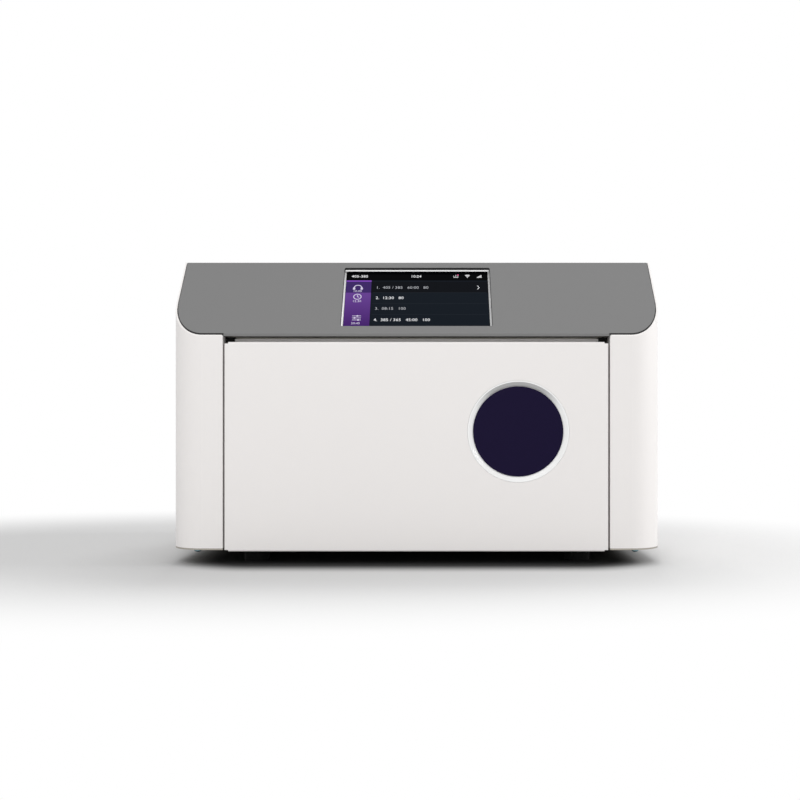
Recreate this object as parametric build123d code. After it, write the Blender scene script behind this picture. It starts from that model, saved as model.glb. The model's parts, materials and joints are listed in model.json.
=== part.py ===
"""Dental lab light curing unit: a sheet-metal cabinet with a drawer and a sloped display panel.

Millimetres, +Z up, +X to the viewer's right, the front faces -Y.
The origin lies on the floor, under the middle of the unit's overall width and depth.
"""
from build123d import *
from math import cos, radians, sin
import os

os.makedirs("parts", exist_ok=True)

# --- Cabinet -----------------------------------------------------------------------------
BODY_WIDTH = 370.0
BODY_DEPTH = 237.0
BODY_HEIGHT = 221.5            # lower to upper edge of the side cheeks
CORNER_RADIUS = 24.0           # upright corners of the cheeks
REAR_STANDOFF = 3.0            # the power inlet's flange behind the rear panel
FOOT_HEIGHT = 12.0
SHEET = 1.2                    # cheeks, base plate, rear panel, deck
CHASSIS_SHEET = 1.5
SEAM = 0.3                     # gap between fixed pieces that only meet at a seam

FRONT_Y = -(BODY_DEPTH + REAR_STANDOFF) / 2
REAR_Y = FRONT_Y + BODY_DEPTH
BODY_MID_Y = (FRONT_Y + REAR_Y) / 2
FLOOR_Z = FOOT_HEIGHT + SHEET  # top of the base plate, lower edge of the cheeks
TOP_Z = FLOOR_Z + BODY_HEIGHT

# --- Slope, cheeks and cover -------------------------------------------------------------
SLOPE_ANGLE = 49.0
SLOPE_RISE = 62.6              # from the cheeks' front edge up to the flat top
CHEEK_FLANGE = 40.0            # width of each cheek's front and rear flange
CHEEK_TIP_RADIUS = 1.6         # inner upper corner of the cheeks' front flange
CHEEK_LIP = 12.0               # width of the cheeks' inward folds
COVER_SHEET = 1.5
COVER_SEAM = 0.6               # shadow gap between cover and cheeks
COVER_DROP = 0.1               # the cover lies this far under the cheeks' edges
COVER_SKIRT = 10.0
LIP_RISE = 0.1                 # underside of the cover's lip above the cheeks' front edge

SLOPE_Z = TOP_Z - SLOPE_RISE   # height of the cheeks' front edge
LIP_Z = SLOPE_Z + LIP_RISE
CHEEK_EDGE_X = BODY_WIDTH / 2 - CHEEK_FLANGE

# --- Display -----------------------------------------------------------------------------
WINDOW_WIDTH = 115.4
WINDOW_HEIGHT = 66.2
WINDOW_CENTRE = 43.8           # up the slope from the cheeks' front edge
WINDOW_RADIUS = 1.5
WINDOW_DEPTH = 3.0             # the window's folded rim, from the cover's face
SCREEN_WIDTH = 112.0
SCREEN_HEIGHT = 62.8
SCREEN_SHIFT = 0.9             # the screen sits slightly high in its window
BEZEL_MARGIN_X = 6.5
BEZEL_MARGIN_Y = 3.2
BEZEL_THICKNESS = 1.0
GLASS_THICKNESS = 0.5
MODULE_THICKNESS = 5.0
BRACKET_WIDTH = 150.0
BRACKET_HEIGHT = 50.0
BOARD_WIDTH = 110.0
BOARD_HEIGHT = 52.0
BOARD_THICKNESS = 1.6
STANDOFF_LENGTH = 6.0
STANDOFF_RADIUS = 2.5
STANDOFF_INSET = 4.0
CHIP_SIZE = 22.0
CHIP_HEIGHT = 2.0
MEMORY_WIDTH = 14.0
MEMORY_HEIGHT = 10.0
HEADER_WIDTH = 34.0
HEADER_HEIGHT = 8.0
HEADER_THICKNESS = 6.0

# --- Chassis -----------------------------------------------------------------------------
WALL_INSET = 7.0               # from a cheek's flange edge to the wall's outer face
CHASSIS_INSET = 18.0           # from the front to the chassis
CHASSIS_FLANGE = 12.0
CHASSIS_NOTCH = 15.0           # cut-back of the flanges at the lower corners
DECK_BELOW = 18.9              # from the cheeks' front edge down to the deck
DECK_SIDE = 10.0               # drop of the deck's side flanges
REAR_BAY = 63.8                # depth of the space for power parts behind the chamber
VENT_WIDTH = 6.0
VENT_PITCH = 12.0
VENT_RISE = 60.0                # slots in the chassis wall, above the floor
VENT_COUNT = 4

WALL_X = CHEEK_EDGE_X - WALL_INSET
WALL_INNER_X = WALL_X - CHASSIS_SHEET
CHASSIS_FRONT_Y = FRONT_Y + CHASSIS_INSET
CHASSIS_REAR_Y = REAR_Y - SHEET
CHAMBER_REAR_Y = CHASSIS_REAR_Y - REAR_BAY
DECK_Z = SLOPE_Z - DECK_BELOW

# --- Drawer ------------------------------------------------------------------------------
DRAWER_SHEET = 1.5
DRAWER_GAP = 1.2               # at each side of the drawer front
DRAWER_FRONT_BELOW = 2.4       # the front reaches this far under the cheeks
DRAWER_FRONT_CLEAR = 4.4       # from the cheeks' front edge down to the flat face
DRAWER_RETURN = 14.0           # depth of the folded sides
STEP_BACK = 12.0               # stepped strip above the face
STEP_HEIGHT = 3.1
STEP_END = 6.0                 # the strip ends this far inside the face's sides
RELIEF_WIDTH = 3.0             # corner reliefs of the folds
RELIEF_HEIGHT = 1.2
FOLD_RADIUS = 1.2

FACE_HALF = CHEEK_EDGE_X - DRAWER_GAP
FACE_TOP = SLOPE_Z - DRAWER_FRONT_CLEAR
FACE_BOTTOM = FLOOR_Z - DRAWER_FRONT_BELOW
LINER_Y = FRONT_Y + DRAWER_RETURN
LINER_BACK_Y = LINER_Y + SHEET

# --- Badge -------------------------------------------------------------------------------
BADGE_INSET = 67.5             # from the face's right side
BADGE_BELOW = 67.0             # from the face's top
BADGE_X = FACE_HALF - BADGE_INSET
BADGE_Z = FACE_TOP - BADGE_BELOW
BADGE_RING_RADIUS = 38.2
BADGE_DISC_RADIUS = 34.0
BADGE_DEPTH = 2.6
BADGE_LIP = 0.3
BADGE_SHEET = 1.2
BADGE_RIM = 0.9
DISC_THICKNESS = 1.0

# --- Telescopic runners ------------------------------------------------------------------
RUNNER_FRONT_GAP = 2.0
RUNNER_REAR_GAP = 15.8
RUNNER_SPACE = 12.5            # between chassis wall and tray
RUNNER_Z = FLOOR_Z + 31.0
RUNNER_SHEET = 1.2
BALL_RADIUS = 2.0
RACE_CLEARANCE = 0.08
CAGE_SHEET = 0.4
CAGE_GAP = 0.25
OUTER_ROW_Z = 14.3             # ball rows above and below the runner's middle
INNER_ROW_Z = 8.9
MEMBER_GAP = 0.3
BALL_COUNT = 4
BALL_PITCH = 26.0
CAGE_LENGTH = 90.0
CAGE_REACH = 0.7               # the cage's edge beyond its ball rows

RUNNER_START_Y = CHASSIS_FRONT_Y + RUNNER_FRONT_GAP
RUNNER_LENGTH = CHASSIS_REAR_Y - RUNNER_REAR_GAP - RUNNER_START_Y
TRAY_X = WALL_INNER_X - RUNNER_SPACE

# --- Drawer tray -------------------------------------------------------------------------
TRAY_FLOOR_RISE = 16.0
TRAY_TOP_RISE = 48.0
TRAY_FLOOR_Z = FLOOR_Z + TRAY_FLOOR_RISE
TRAY_TOP_Z = FLOOR_Z + TRAY_TOP_RISE
TRAY_REAR_GAP = 4.8
TRAY_REAR_Y = CHAMBER_REAR_Y - TRAY_REAR_GAP
PAD_HEIGHT = 4.0
PAD_RADIUS = 6.0
PAD_INSET = 12.0
PLATE_THICKNESS = 4.0
PLATE_CLEARANCE = 1.5
PLATE_RADIUS = 5.0
TRAY_SCREW_PITCH = 60.0
TRAY_SCREW_BELOW = 8.0
SEAL_WIDTH = 3.5
SEAL_GAP = 0.3
SEAL_BACK_Y = CHASSIS_FRONT_Y - SEAL_GAP
SEAL_RISE = 2.0
SEAL_BELOW = 4.0

# --- Chamber, lamp and heat sink ---------------------------------------------------------
REFLECTOR_SHEET = 0.8
LAMP_SHIFT = 1.0               # the lamp lies this far before the chamber's middle
LAMP_MARGIN_X = 51.5           # from a chassis wall to the lamp opening
LAMP_MARGIN_Y = 22.0           # from the chamber's front or rear to the lamp opening
WINDOW_GLASS = 3.0
WINDOW_OVERLAP = 5.0
FRAME_WALL = 7.0
FRAME_HEIGHT = 9.3
LAMP_BOARD = 1.6
LED_SIZE = 3.5
LED_HEIGHT = 2.0
LED_COLUMNS = 6
LED_ROWS = 4
LED_MARGIN_X = 20.0            # from the opening's side to the last row of LEDs
LED_MARGIN_Y = 19.0
SINK_WIDTH = 150.0
SINK_DEPTH = 90.0
SINK_BASE = 4.0
SINK_SHIFT = 6.0               # the heat sink lies this far behind the lamp's middle
FIN_HEIGHT = 21.0
FIN_THICKNESS = 1.5
FIN_COUNT = 22

LAMP_Y = (CHASSIS_FRONT_Y + CHAMBER_REAR_Y) / 2 - LAMP_SHIFT
LAMP_OPENING_X = 2 * (WALL_INNER_X - LAMP_MARGIN_X)
LAMP_OPENING_Y = CHAMBER_REAR_Y - CHASSIS_FRONT_Y - 2 * LAMP_MARGIN_Y
LED_PITCH_X = (LAMP_OPENING_X - 2 * LED_MARGIN_X) / (LED_COLUMNS - 1)
LED_PITCH_Y = (LAMP_OPENING_Y - 2 * LED_MARGIN_Y) / (LED_ROWS - 1)
SINK_Y = LAMP_Y + SINK_SHIFT

# --- Fans --------------------------------------------------------------------------------
SINK_FAN_SIZE = 60.0
SINK_FAN_DEPTH = 15.0
EXHAUST_FAN_SIZE = 80.0
EXHAUST_FAN_DEPTH = 25.0
EXHAUST_INSET = 58.0           # from the chassis wall to the fan's axis
EXHAUST_BELOW = 48.0           # from the deck to the fan's axis
EXHAUST_X = WALL_X - EXHAUST_INSET
EXHAUST_Z = DECK_Z - EXHAUST_BELOW
FAN_WALL = 2.0
FAN_CORNER_RADIUS = 4.0
FAN_SCREW_INSET = 4.5
FAN_SCREW_RADIUS = 2.1
SPOKE_WIDTH = 4.0
SPOKE_DEPTH = 3.0
HUB_SHARE = 0.2                # hub radius to frame size
MOTOR_SHARE = 0.3              # motor depth to frame depth
ROTOR_GAP = 0.5
ROTOR_SETBACK = 1.0
HUB_RADIUS = 1.0               # rounding of the rotor's hub
BLADE_ROOT_SINK = 0.8
ROOT_PITCH = 40.0
TIP_PITCH = 24.0
ROOT_CHORD = 1.25              # chord to the blades' depth
TIP_CHORD = 1.9
TIP_GAP = 1.2
BLADE_COUNT = 7
BLADE_THICKNESS = 1.2
SHAFT_RADIUS = 1.5
SHAFT_CLEARANCE = 0.05

# --- Rear panel, power inlet and switch --------------------------------------------------
INLET_INSET = 26.0             # from the chassis wall to the inlet's middle
SWITCH_INSET = 66.0
POWER_BELOW = 55.0             # from the deck to the middle of inlet and switch
INLET_X = INLET_INSET - WALL_X
SWITCH_X = SWITCH_INSET - WALL_X
POWER_Z = DECK_Z - POWER_BELOW
SLOT_WIDTH = 3.0
GRILLE_RADII = (12, 19, 26, 33)
GRILLE_ARC = 66.0
REAR_VENT_COUNT = 9
REAR_VENT_PITCH = 20.0
REAR_VENT_LENGTH = 30.0
REAR_VENT_BELOW = 42.0
BASE_VENT_COUNT = 6
BASE_VENT_PITCH = 10.0
BASE_VENT_LENGTH = 40.0
BASE_VENT_X = 60.0
BASE_VENT_SHIFT = 13.5         # the base vents lie this far before the cabinet's middle
STIFFENER_RISE = 10.0
PANEL_FIT = 0.15               # clearance round what snaps into the rear panel

# --- Catches and power fittings ----------------------------------------------------------
MAGNET_INSET = 23.0            # from the chassis wall to a catch's middle
MAGNET_RISE = 3.5
MAGNET_HALF = 10.0
MAGNET_X = WALL_X - MAGNET_INSET
MAGNET_Z = DECK_Z + MAGNET_RISE
MAGNET_HEIGHT = 6.5
MAGNET_DEPTH = 9.0
SENSOR_DEPTH = 7.0
TARGET_RADIUS = 3.0
INLET_BODY_X = 27.0
INLET_BODY_Z = 19.5
INLET_DEPTH = 25.0
SOCKET_X = 24.2
SOCKET_Z = 16.4
SOCKET_DEPTH = 17.0
SOCKET_CHAMFER = 4.0
INLET_RIM = 2.0
INLET_RIM_RADIUS = 3.0
PIN_PITCH = 7.0
PIN_LENGTH = 14.0
PIN_WIDTH = 2.0
PIN_HEIGHT = 4.0
EARTH_PIN_RISE = 2.0
SIDE_PIN_DROP = 1.5
SWITCH_BODY_X = 13.0
SWITCH_BODY_Z = 21.5
SWITCH_DEPTH = 20.0
SWITCH_RIM = 1.5
SWITCH_RIM_DEPTH = 1.6
CAVITY_HALF_X = 5.2
CAVITY_HALF_Z = 9.4
CAVITY_DEPTH = 6.0             # behind the rocker's pivot
ROCKER_HALF_X = 5.0
PIVOT_REACH = 0.7              # pivot pin into each side of the housing
PIVOT_END_GAP = 0.1
ROCKER_PIVOT_BACK = 3.5        # pivot in front of the rear panel's outer face
ROCKER_TILT = 10.0
PIVOT_RADIUS = 1.0
SUPPLY_INSET = 16.5            # from the chassis wall's inner face
SUPPLY_WIDTH = 140.0
SUPPLY_DEPTH = 48.0
SUPPLY_HEIGHT = 38.0
SUPPLY_VENTS = 8
SUPPLY_VENT_PITCH = 14.0
SUPPLY_VENT_INSET = 20.0
SUPPLY_VENT_LENGTH = 32.0
SUPPLY_VENT_WIDTH = 4.0
SUPPLY_VENT_DEPTH = 2.0
TERMINAL_WIDTH = 14.0
TERMINAL_STEP = 8.0
TERMINAL_HEIGHT = 16.0
TERMINAL_FLOOR = 6.0
TERMINAL_INSET = 4.0
TERMINAL_COUNT = 4
TERMINAL_PITCH = 9.0
DRIVER_X = 60.0
DRIVER_GAP = 10.0              # behind the chamber's rear
DRIVER_DEPTH = 42.0
DRIVER_THICKNESS = 1.6
DRIVER_RISE = 6.0
DRIVER_POST_RADIUS = 2.5
DRIVER_POST_INSET = 4.5
COIL_WIDTH = 30.0
COIL_DEPTH = 24.0
COIL_HEIGHT = 12.4
CAPACITOR_RADIUS = 6.0
CAPACITOR_HEIGHT = 16.4
CAPACITOR_PITCH = 16.0

# --- Feet and screws ---------------------------------------------------------------------
FOOT_INSET_X = 60.0
FOOT_INSET_Y = 36.5
FOOT_RADIUS = 11.0
FOOT_TAPER = 1.5
BASE_SCREW_INSET_X = 20.0
BASE_SCREW_INSET_Y = 8.0
SCREW_HEAD_RADIUS = 2.85
SCREW_HEAD_HEIGHT = 2.4
SCREW_HEAD_ROUNDING = 0.8
SCREW_RADIUS = 1.5
SMALL_HEAD_RADIUS = 2.4
SMALL_HEAD_HEIGHT = 1.8
TRAY_HEAD_RADIUS = 3.0
TRAY_HEAD_HEIGHT = 2.0
PANEL_SCREW_INSET = 2.5        # from the chassis wall
CHEEK_SCREW_INSET = 1.5        # from the end of the chassis flange
PANEL_SCREW_RISE = 30.0
PANEL_SCREW_BELOW = 31.5

FOOT_X = BODY_WIDTH / 2 - FOOT_INSET_X
FOOT_Y = BODY_DEPTH / 2 - FOOT_INSET_Y
BASE_SCREW_X = BODY_WIDTH / 2 - BASE_SCREW_INSET_X
BASE_SCREW_Y = FRONT_Y + BASE_SCREW_INSET_Y

SLOPE = Plane(
    origin=(0, FRONT_Y, SLOPE_Z),
    x_dir=(1, 0, 0),
    z_dir=(0, -sin(radians(SLOPE_ANGLE)), cos(radians(SLOPE_ANGLE))),
)


def block(x0, x1, y0, y1, z0, z1):
    """A box between two opposite corners."""
    centre = ((x0 + x1) / 2, (y0 + y1) / 2, (z0 + z1) / 2)
    return Pos(*centre) * Box(x1 - x0, y1 - y0, z1 - z0)


def upright(x, y, z0, z1, radius):
    """A cylinder along Z."""
    return Pos(x, y, (z0 + z1) / 2) * Cylinder(radius, z1 - z0)


def along_y(x, z, y0, y1, radius):
    """A cylinder along Y."""
    return Pos(x, (y0 + y1) / 2, z) * Rot(90, 0, 0) * Cylinder(radius, y1 - y0)


def along_x(y, z, x0, x1, radius):
    """A cylinder along X."""
    return Pos((x0 + x1) / 2, y, z) * Rot(0, 90, 0) * Cylinder(radius, x1 - x0)


def mirrored(shape):
    """The same piece on the other side of the unit."""
    return mirror(shape, about=Plane.YZ)


def both_sides(shape):
    """A piece and its mirror image, as one group."""
    return [shape, mirrored(shape)]


def save(name, shapes):
    """Write one node, which is a single solid or a group of separate ones."""
    solids = []
    for shape in shapes if isinstance(shapes, list) else [shapes]:
        solids.extend(shape.solids())
    node = solids[0] if len(solids) == 1 else Compound(children=solids)
    node.label = name
    export_step(node, f"parts/{name}.step")


def body_outline(inset):
    """The cabinet's rounded plan outline, pulled in by inset."""
    outline = RectangleRounded(
        BODY_WIDTH - 2 * inset, BODY_DEPTH - 2 * inset, CORNER_RADIUS - inset
    )
    return Pos(0, BODY_MID_Y, 0) * outline


def above_slope(drop):
    """Everything over the slope, once the slope is lowered by drop."""
    size = 2 * BODY_WIDTH
    return SLOPE * Pos(0, 0, size / 2 - drop) * Box(size, size, size)


def roof_block(inset, drop):
    """The cabinet's solid form with its sides pulled in and its roof lowered."""
    form = Pos(0, 0, FLOOR_Z) * extrude(body_outline(inset), BODY_HEIGHT - drop)
    return form - above_slope(drop)


# --- Housing -----------------------------------------------------------------------------
def base_plate():
    """Floor plate under the cheeks, open at the front where the drawer front hangs."""
    plate = Pos(0, 0, FOOT_HEIGHT) * extrude(body_outline(0), SHEET)
    plate -= block(-CHEEK_EDGE_X, CHEEK_EDGE_X, FRONT_Y, CHASSIS_FRONT_Y, 0, FLOOR_Z)
    stiffener = block(
        -WALL_INNER_X, WALL_INNER_X,
        CHASSIS_FRONT_Y, CHASSIS_FRONT_Y + SHEET,
        FOOT_HEIGHT, FLOOR_Z + STIFFENER_RISE,
    )
    plate += stiffener
    vent_y = BODY_MID_Y - BASE_VENT_SHIFT
    for side in (-1, 1):
        plate -= upright(side * BASE_SCREW_X, BASE_SCREW_Y, FOOT_HEIGHT, FLOOR_Z, SCREW_RADIUS)
        for index in range(BASE_VENT_COUNT):
            slot = SlotOverall(BASE_VENT_LENGTH, SLOT_WIDTH)
            y = vent_y + (index - (BASE_VENT_COUNT - 1) / 2) * BASE_VENT_PITCH
            plate -= Pos(side * BASE_VENT_X, y, FOOT_HEIGHT) * extrude(slot, SHEET)
    return plate


def right_cheek():
    """Side shell with rounded corners, folded front and rear flanges and a bottom flange."""
    wall = body_outline(0) - body_outline(SHEET)
    shell = Pos(0, 0, FLOOR_Z) * extrude(wall, BODY_HEIGHT)
    rim = body_outline(0) - body_outline(CHEEK_LIP)
    shell += Pos(0, 0, FLOOR_Z) * extrude(rim, SHEET)
    edge = (CHEEK_EDGE_X, CHEEK_EDGE_X + SHEET)
    shell += block(*edge, FRONT_Y, FRONT_Y + CHEEK_LIP, FLOOR_Z, LIP_Z - SEAM)
    shell &= block(CHEEK_EDGE_X, BODY_WIDTH, -BODY_DEPTH, BODY_DEPTH, FLOOR_Z, TOP_Z)
    shell -= above_slope(0)
    r = CHEEK_TIP_RADIUS
    tip = Pos(CHEEK_EDGE_X + r / 2, r, -r / 2) * Box(r, 4 * r, r)
    tip -= Pos(CHEEK_EDGE_X + r, r, -r) * Rot(90, 0, 0) * Cylinder(r, 4 * r)
    screw_hole = upright(BASE_SCREW_X, BASE_SCREW_Y, FLOOR_Z, FLOOR_Z + SHEET, SCREW_RADIUS)
    return shell - SLOPE * tip - screw_hole


def top_cover():
    """Roof of the unit: the sloped panel, the flat top and a short skirt inside the cheeks."""
    inset = SHEET + COVER_SEAM
    skin = roof_block(inset, COVER_DROP)
    skin -= roof_block(inset + COVER_SHEET, COVER_DROP + COVER_SHEET)
    skin -= roof_block(-CHEEK_LIP, COVER_DROP + COVER_SKIRT)
    lip_y = FRONT_Y + inset
    skin -= block(-BODY_WIDTH, BODY_WIDTH, FRONT_Y, CHASSIS_FRONT_Y, 0, LIP_Z)
    skin += block(
        -WALL_INNER_X + SEAM, WALL_INNER_X - SEAM,
        lip_y, CHASSIS_FRONT_Y + 2 * SHEET,
        LIP_Z, LIP_Z + SHEET,
    )
    rim = RectangleRounded(
        WINDOW_WIDTH + 2 * COVER_SHEET, WINDOW_HEIGHT + 2 * COVER_SHEET, WINDOW_RADIUS + COVER_SHEET
    )
    rim_depth = WINDOW_DEPTH - COVER_SHEET
    skin += SLOPE * Pos(0, WINDOW_CENTRE, -COVER_DROP - WINDOW_DEPTH) * extrude(rim, rim_depth)
    window = RectangleRounded(WINDOW_WIDTH, WINDOW_HEIGHT, WINDOW_RADIUS)
    opening = SLOPE * Pos(0, WINDOW_CENTRE, -COVER_SKIRT) * extrude(window, 2 * COVER_SKIRT)
    return skin - opening


def on_slope(x, along, depth, size_x, size_y, thickness):
    """A plate parallel to the slope, its face at the given depth under the cover's face."""
    place = Pos(x, along, -COVER_DROP - depth - thickness / 2)
    return SLOPE * place * Box(size_x, size_y, thickness)


def display_parts():
    """Bezel, glass, display module, its bracket and the control board behind it."""
    middle = WINDOW_CENTRE + SCREEN_SHIFT
    bezel_depth = WINDOW_DEPTH
    module_depth = bezel_depth + BEZEL_THICKNESS
    bracket_depth = module_depth + MODULE_THICKNESS
    board_depth = bracket_depth + SHEET + STANDOFF_LENGTH
    outer = (SCREEN_WIDTH + 2 * BEZEL_MARGIN_X, SCREEN_HEIGHT + 2 * BEZEL_MARGIN_Y)
    bezel = on_slope(0, middle, bezel_depth, *outer, BEZEL_THICKNESS)
    bezel -= on_slope(0, middle, bezel_depth, SCREEN_WIDTH, SCREEN_HEIGHT, BEZEL_THICKNESS)
    glass_depth = module_depth - GLASS_THICKNESS
    fit = 2 * PANEL_FIT
    glass = on_slope(
        0, middle, glass_depth, SCREEN_WIDTH - fit, SCREEN_HEIGHT - fit, GLASS_THICKNESS
    )
    module = on_slope(0, middle, module_depth, *outer, MODULE_THICKNESS)
    bracket = on_slope(0, middle, bracket_depth, BRACKET_WIDTH, BRACKET_HEIGHT, SHEET)
    leg_length = bracket_depth - COVER_SHEET + SHEET
    for side in (-1, 1):
        leg_x = side * (BRACKET_WIDTH - SHEET) / 2
        bracket += on_slope(leg_x, middle, COVER_SHEET, SHEET, BRACKET_HEIGHT, leg_length)
        foot_x = side * (BRACKET_WIDTH + CHASSIS_FLANGE) / 2
        bracket += on_slope(foot_x, middle, COVER_SHEET, CHASSIS_FLANGE, BRACKET_HEIGHT, SHEET)
    board = on_slope(0, middle, board_depth, BOARD_WIDTH, BOARD_HEIGHT, BOARD_THICKNESS)
    for x in (-1, 1):
        for y in (-1, 1):
            post_x = x * (BOARD_WIDTH / 2 - STANDOFF_INSET)
            post_y = middle + y * (BOARD_HEIGHT / 2 - STANDOFF_INSET)
            post_place = Pos(post_x, post_y, -COVER_DROP - board_depth + STANDOFF_LENGTH / 2)
            board += SLOPE * post_place * Cylinder(STANDOFF_RADIUS, STANDOFF_LENGTH)
    back = board_depth + BOARD_THICKNESS
    chip_x = -CHIP_SIZE / 2
    memory_x = MEMORY_WIDTH / 2 + STANDOFF_INSET
    board += on_slope(chip_x, middle, back, CHIP_SIZE, CHIP_SIZE, CHIP_HEIGHT)
    board += on_slope(memory_x, middle, back, MEMORY_WIDTH, MEMORY_HEIGHT, CHIP_HEIGHT)
    header_y = middle - BOARD_HEIGHT / 2 + HEADER_HEIGHT
    for side in (-1, 1):
        x = side * (HEADER_WIDTH + STANDOFF_INSET) / 2
        board += on_slope(x, header_y, back, HEADER_WIDTH, HEADER_HEIGHT, HEADER_THICKNESS)
    return bezel, glass, module, bracket, board


def rear_panel():
    """Flat service panel with a bottom flange, arc-slot fan grille, vents and cut-outs."""
    half = CHEEK_EDGE_X - SEAM
    panel = block(-half, half, REAR_Y - SHEET, REAR_Y, FLOOR_Z, TOP_Z)
    panel += block(
        -WALL_INNER_X, WALL_INNER_X, REAR_Y - CHASSIS_FLANGE, REAR_Y, FLOOR_Z, FLOOR_Z + SHEET
    )
    for radius in GRILLE_RADII:
        for quarter in range(4):
            start = quarter * 90 + (90 - GRILLE_ARC) / 2
            arc = CenterArc((0, 0), radius, start, GRILLE_ARC)
            slot = SlotArc(arc, SLOT_WIDTH)
            place = Pos(EXHAUST_X, REAR_Y + 1, EXHAUST_Z) * Rot(90, 0, 0)
            panel -= place * extrude(slot, SHEET + 2)
    vent = Rot(0, 0, 90) * SlotOverall(REAR_VENT_LENGTH, SLOT_WIDTH)
    for index in range(REAR_VENT_COUNT):
        x = (index - (REAR_VENT_COUNT - 1) / 2) * REAR_VENT_PITCH
        place = Pos(x, REAR_Y + 1, TOP_Z - REAR_VENT_BELOW) * Rot(90, 0, 0)
        panel -= place * extrude(vent, SHEET + 2)
    panel -= block(
        INLET_X - INLET_BODY_X / 2 - PANEL_FIT, INLET_X + INLET_BODY_X / 2 + PANEL_FIT,
        REAR_Y - SHEET, REAR_Y,
        POWER_Z - INLET_BODY_Z / 2 - PANEL_FIT, POWER_Z + INLET_BODY_Z / 2 + PANEL_FIT,
    )
    panel -= block(
        SWITCH_X - SWITCH_BODY_X / 2 - PANEL_FIT, SWITCH_X + SWITCH_BODY_X / 2 + PANEL_FIT,
        REAR_Y - SHEET, REAR_Y,
        POWER_Z - SWITCH_BODY_Z / 2 - PANEL_FIT, POWER_Z + SWITCH_BODY_Z / 2 + PANEL_FIT,
    )
    return panel


def feet():
    """Four tapered rubber feet."""
    shapes = []
    for x in (-FOOT_X, FOOT_X):
        for y in (-FOOT_Y, FOOT_Y):
            cone = Cone(FOOT_RADIUS - FOOT_TAPER, FOOT_RADIUS, FOOT_HEIGHT)
            shapes.append(Pos(x, y, FOOT_HEIGHT / 2) * cone)
    return shapes


def base_screws():
    """Pan-head screws through the base plate into the cheeks."""
    low = FOOT_HEIGHT - SCREW_HEAD_HEIGHT
    head = upright(BASE_SCREW_X, BASE_SCREW_Y, low, FOOT_HEIGHT, SCREW_HEAD_RADIUS)
    head = fillet(head.edges().group_by(Axis.Z)[0], SCREW_HEAD_ROUNDING)
    return both_sides(head)


# --- Chassis -----------------------------------------------------------------------------
def right_chassis_wall():
    """Upright plate beside the drawer, with flanges for the base, front seal, rear and roof."""
    roof = COVER_DROP + COVER_SHEET
    reach = (WALL_X, WALL_X + CHASSIS_FLANGE)
    run = (CHASSIS_FRONT_Y, CHASSIS_REAR_Y - SEAM)
    wall = block(WALL_INNER_X, WALL_X, *run, FLOOR_Z, TOP_Z)
    low = FLOOR_Z + CHASSIS_NOTCH
    wall += block(*reach, CHASSIS_FRONT_Y, CHASSIS_FRONT_Y + CHASSIS_SHEET, low, TOP_Z)
    wall += block(*reach, run[1] - CHASSIS_SHEET, run[1], low, TOP_Z)
    foot_run = (run[0] + CHASSIS_NOTCH, run[1] - CHASSIS_NOTCH)
    wall += block(*reach, *foot_run, FLOOR_Z, FLOOR_Z + CHASSIS_SHEET)
    wall &= roof_block(0, roof)
    top_flange = block(*reach, *run, FLOOR_Z, TOP_Z) & roof_block(0, roof)
    wall += top_flange - roof_block(-CHEEK_LIP, roof + CHASSIS_SHEET)
    skirt_y = REAR_Y - SHEET - COVER_SEAM - COVER_SHEET - SEAM
    skirt_z = TOP_Z - COVER_DROP - COVER_SKIRT - SEAM
    wall -= block(0, BODY_WIDTH, skirt_y, REAR_Y, skirt_z, TOP_Z)
    for index in range(VENT_COUNT):
        y = CHAMBER_REAR_Y + DRIVER_GAP + index * VENT_PITCH
        wall -= block(0, WALL_X, y, y + VENT_WIDTH, FLOOR_Z + VENT_RISE, DECK_Z - CHASSIS_NOTCH)
    return wall


def chassis_deck():
    """Chamber ceiling with the lamp opening, side flanges and a stiff front flange."""
    x = WALL_INNER_X
    deck = block(-x, x, CHASSIS_FRONT_Y, CHASSIS_REAR_Y - SEAM, DECK_Z, DECK_Z + SHEET)
    deck += block(-x, x, CHASSIS_FRONT_Y, CHASSIS_FRONT_Y + SHEET, DECK_Z, LIP_Z)
    for side in (-1, 1):
        low, high = sorted((side * x, side * (x - SHEET)))
        flange_run = (CHASSIS_FRONT_Y + CHASSIS_FLANGE, CHAMBER_REAR_Y - SHEET)
        deck += block(low, high, *flange_run, DECK_Z - DECK_SIDE, DECK_Z)
    deck -= block(
        -LAMP_OPENING_X / 2, LAMP_OPENING_X / 2,
        LAMP_Y - LAMP_OPENING_Y / 2, LAMP_Y + LAMP_OPENING_Y / 2,
        DECK_Z, DECK_Z + SHEET,
    )
    half = MAGNET_HALF + PANEL_FIT
    for x in (-MAGNET_X, 0, MAGNET_X):
        deck -= block(
            x - half, x + half,
            CHASSIS_FRONT_Y, CHASSIS_FRONT_Y + SHEET,
            MAGNET_Z - PANEL_FIT, MAGNET_Z + MAGNET_HEIGHT + PANEL_FIT,
        )
    return deck


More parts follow.
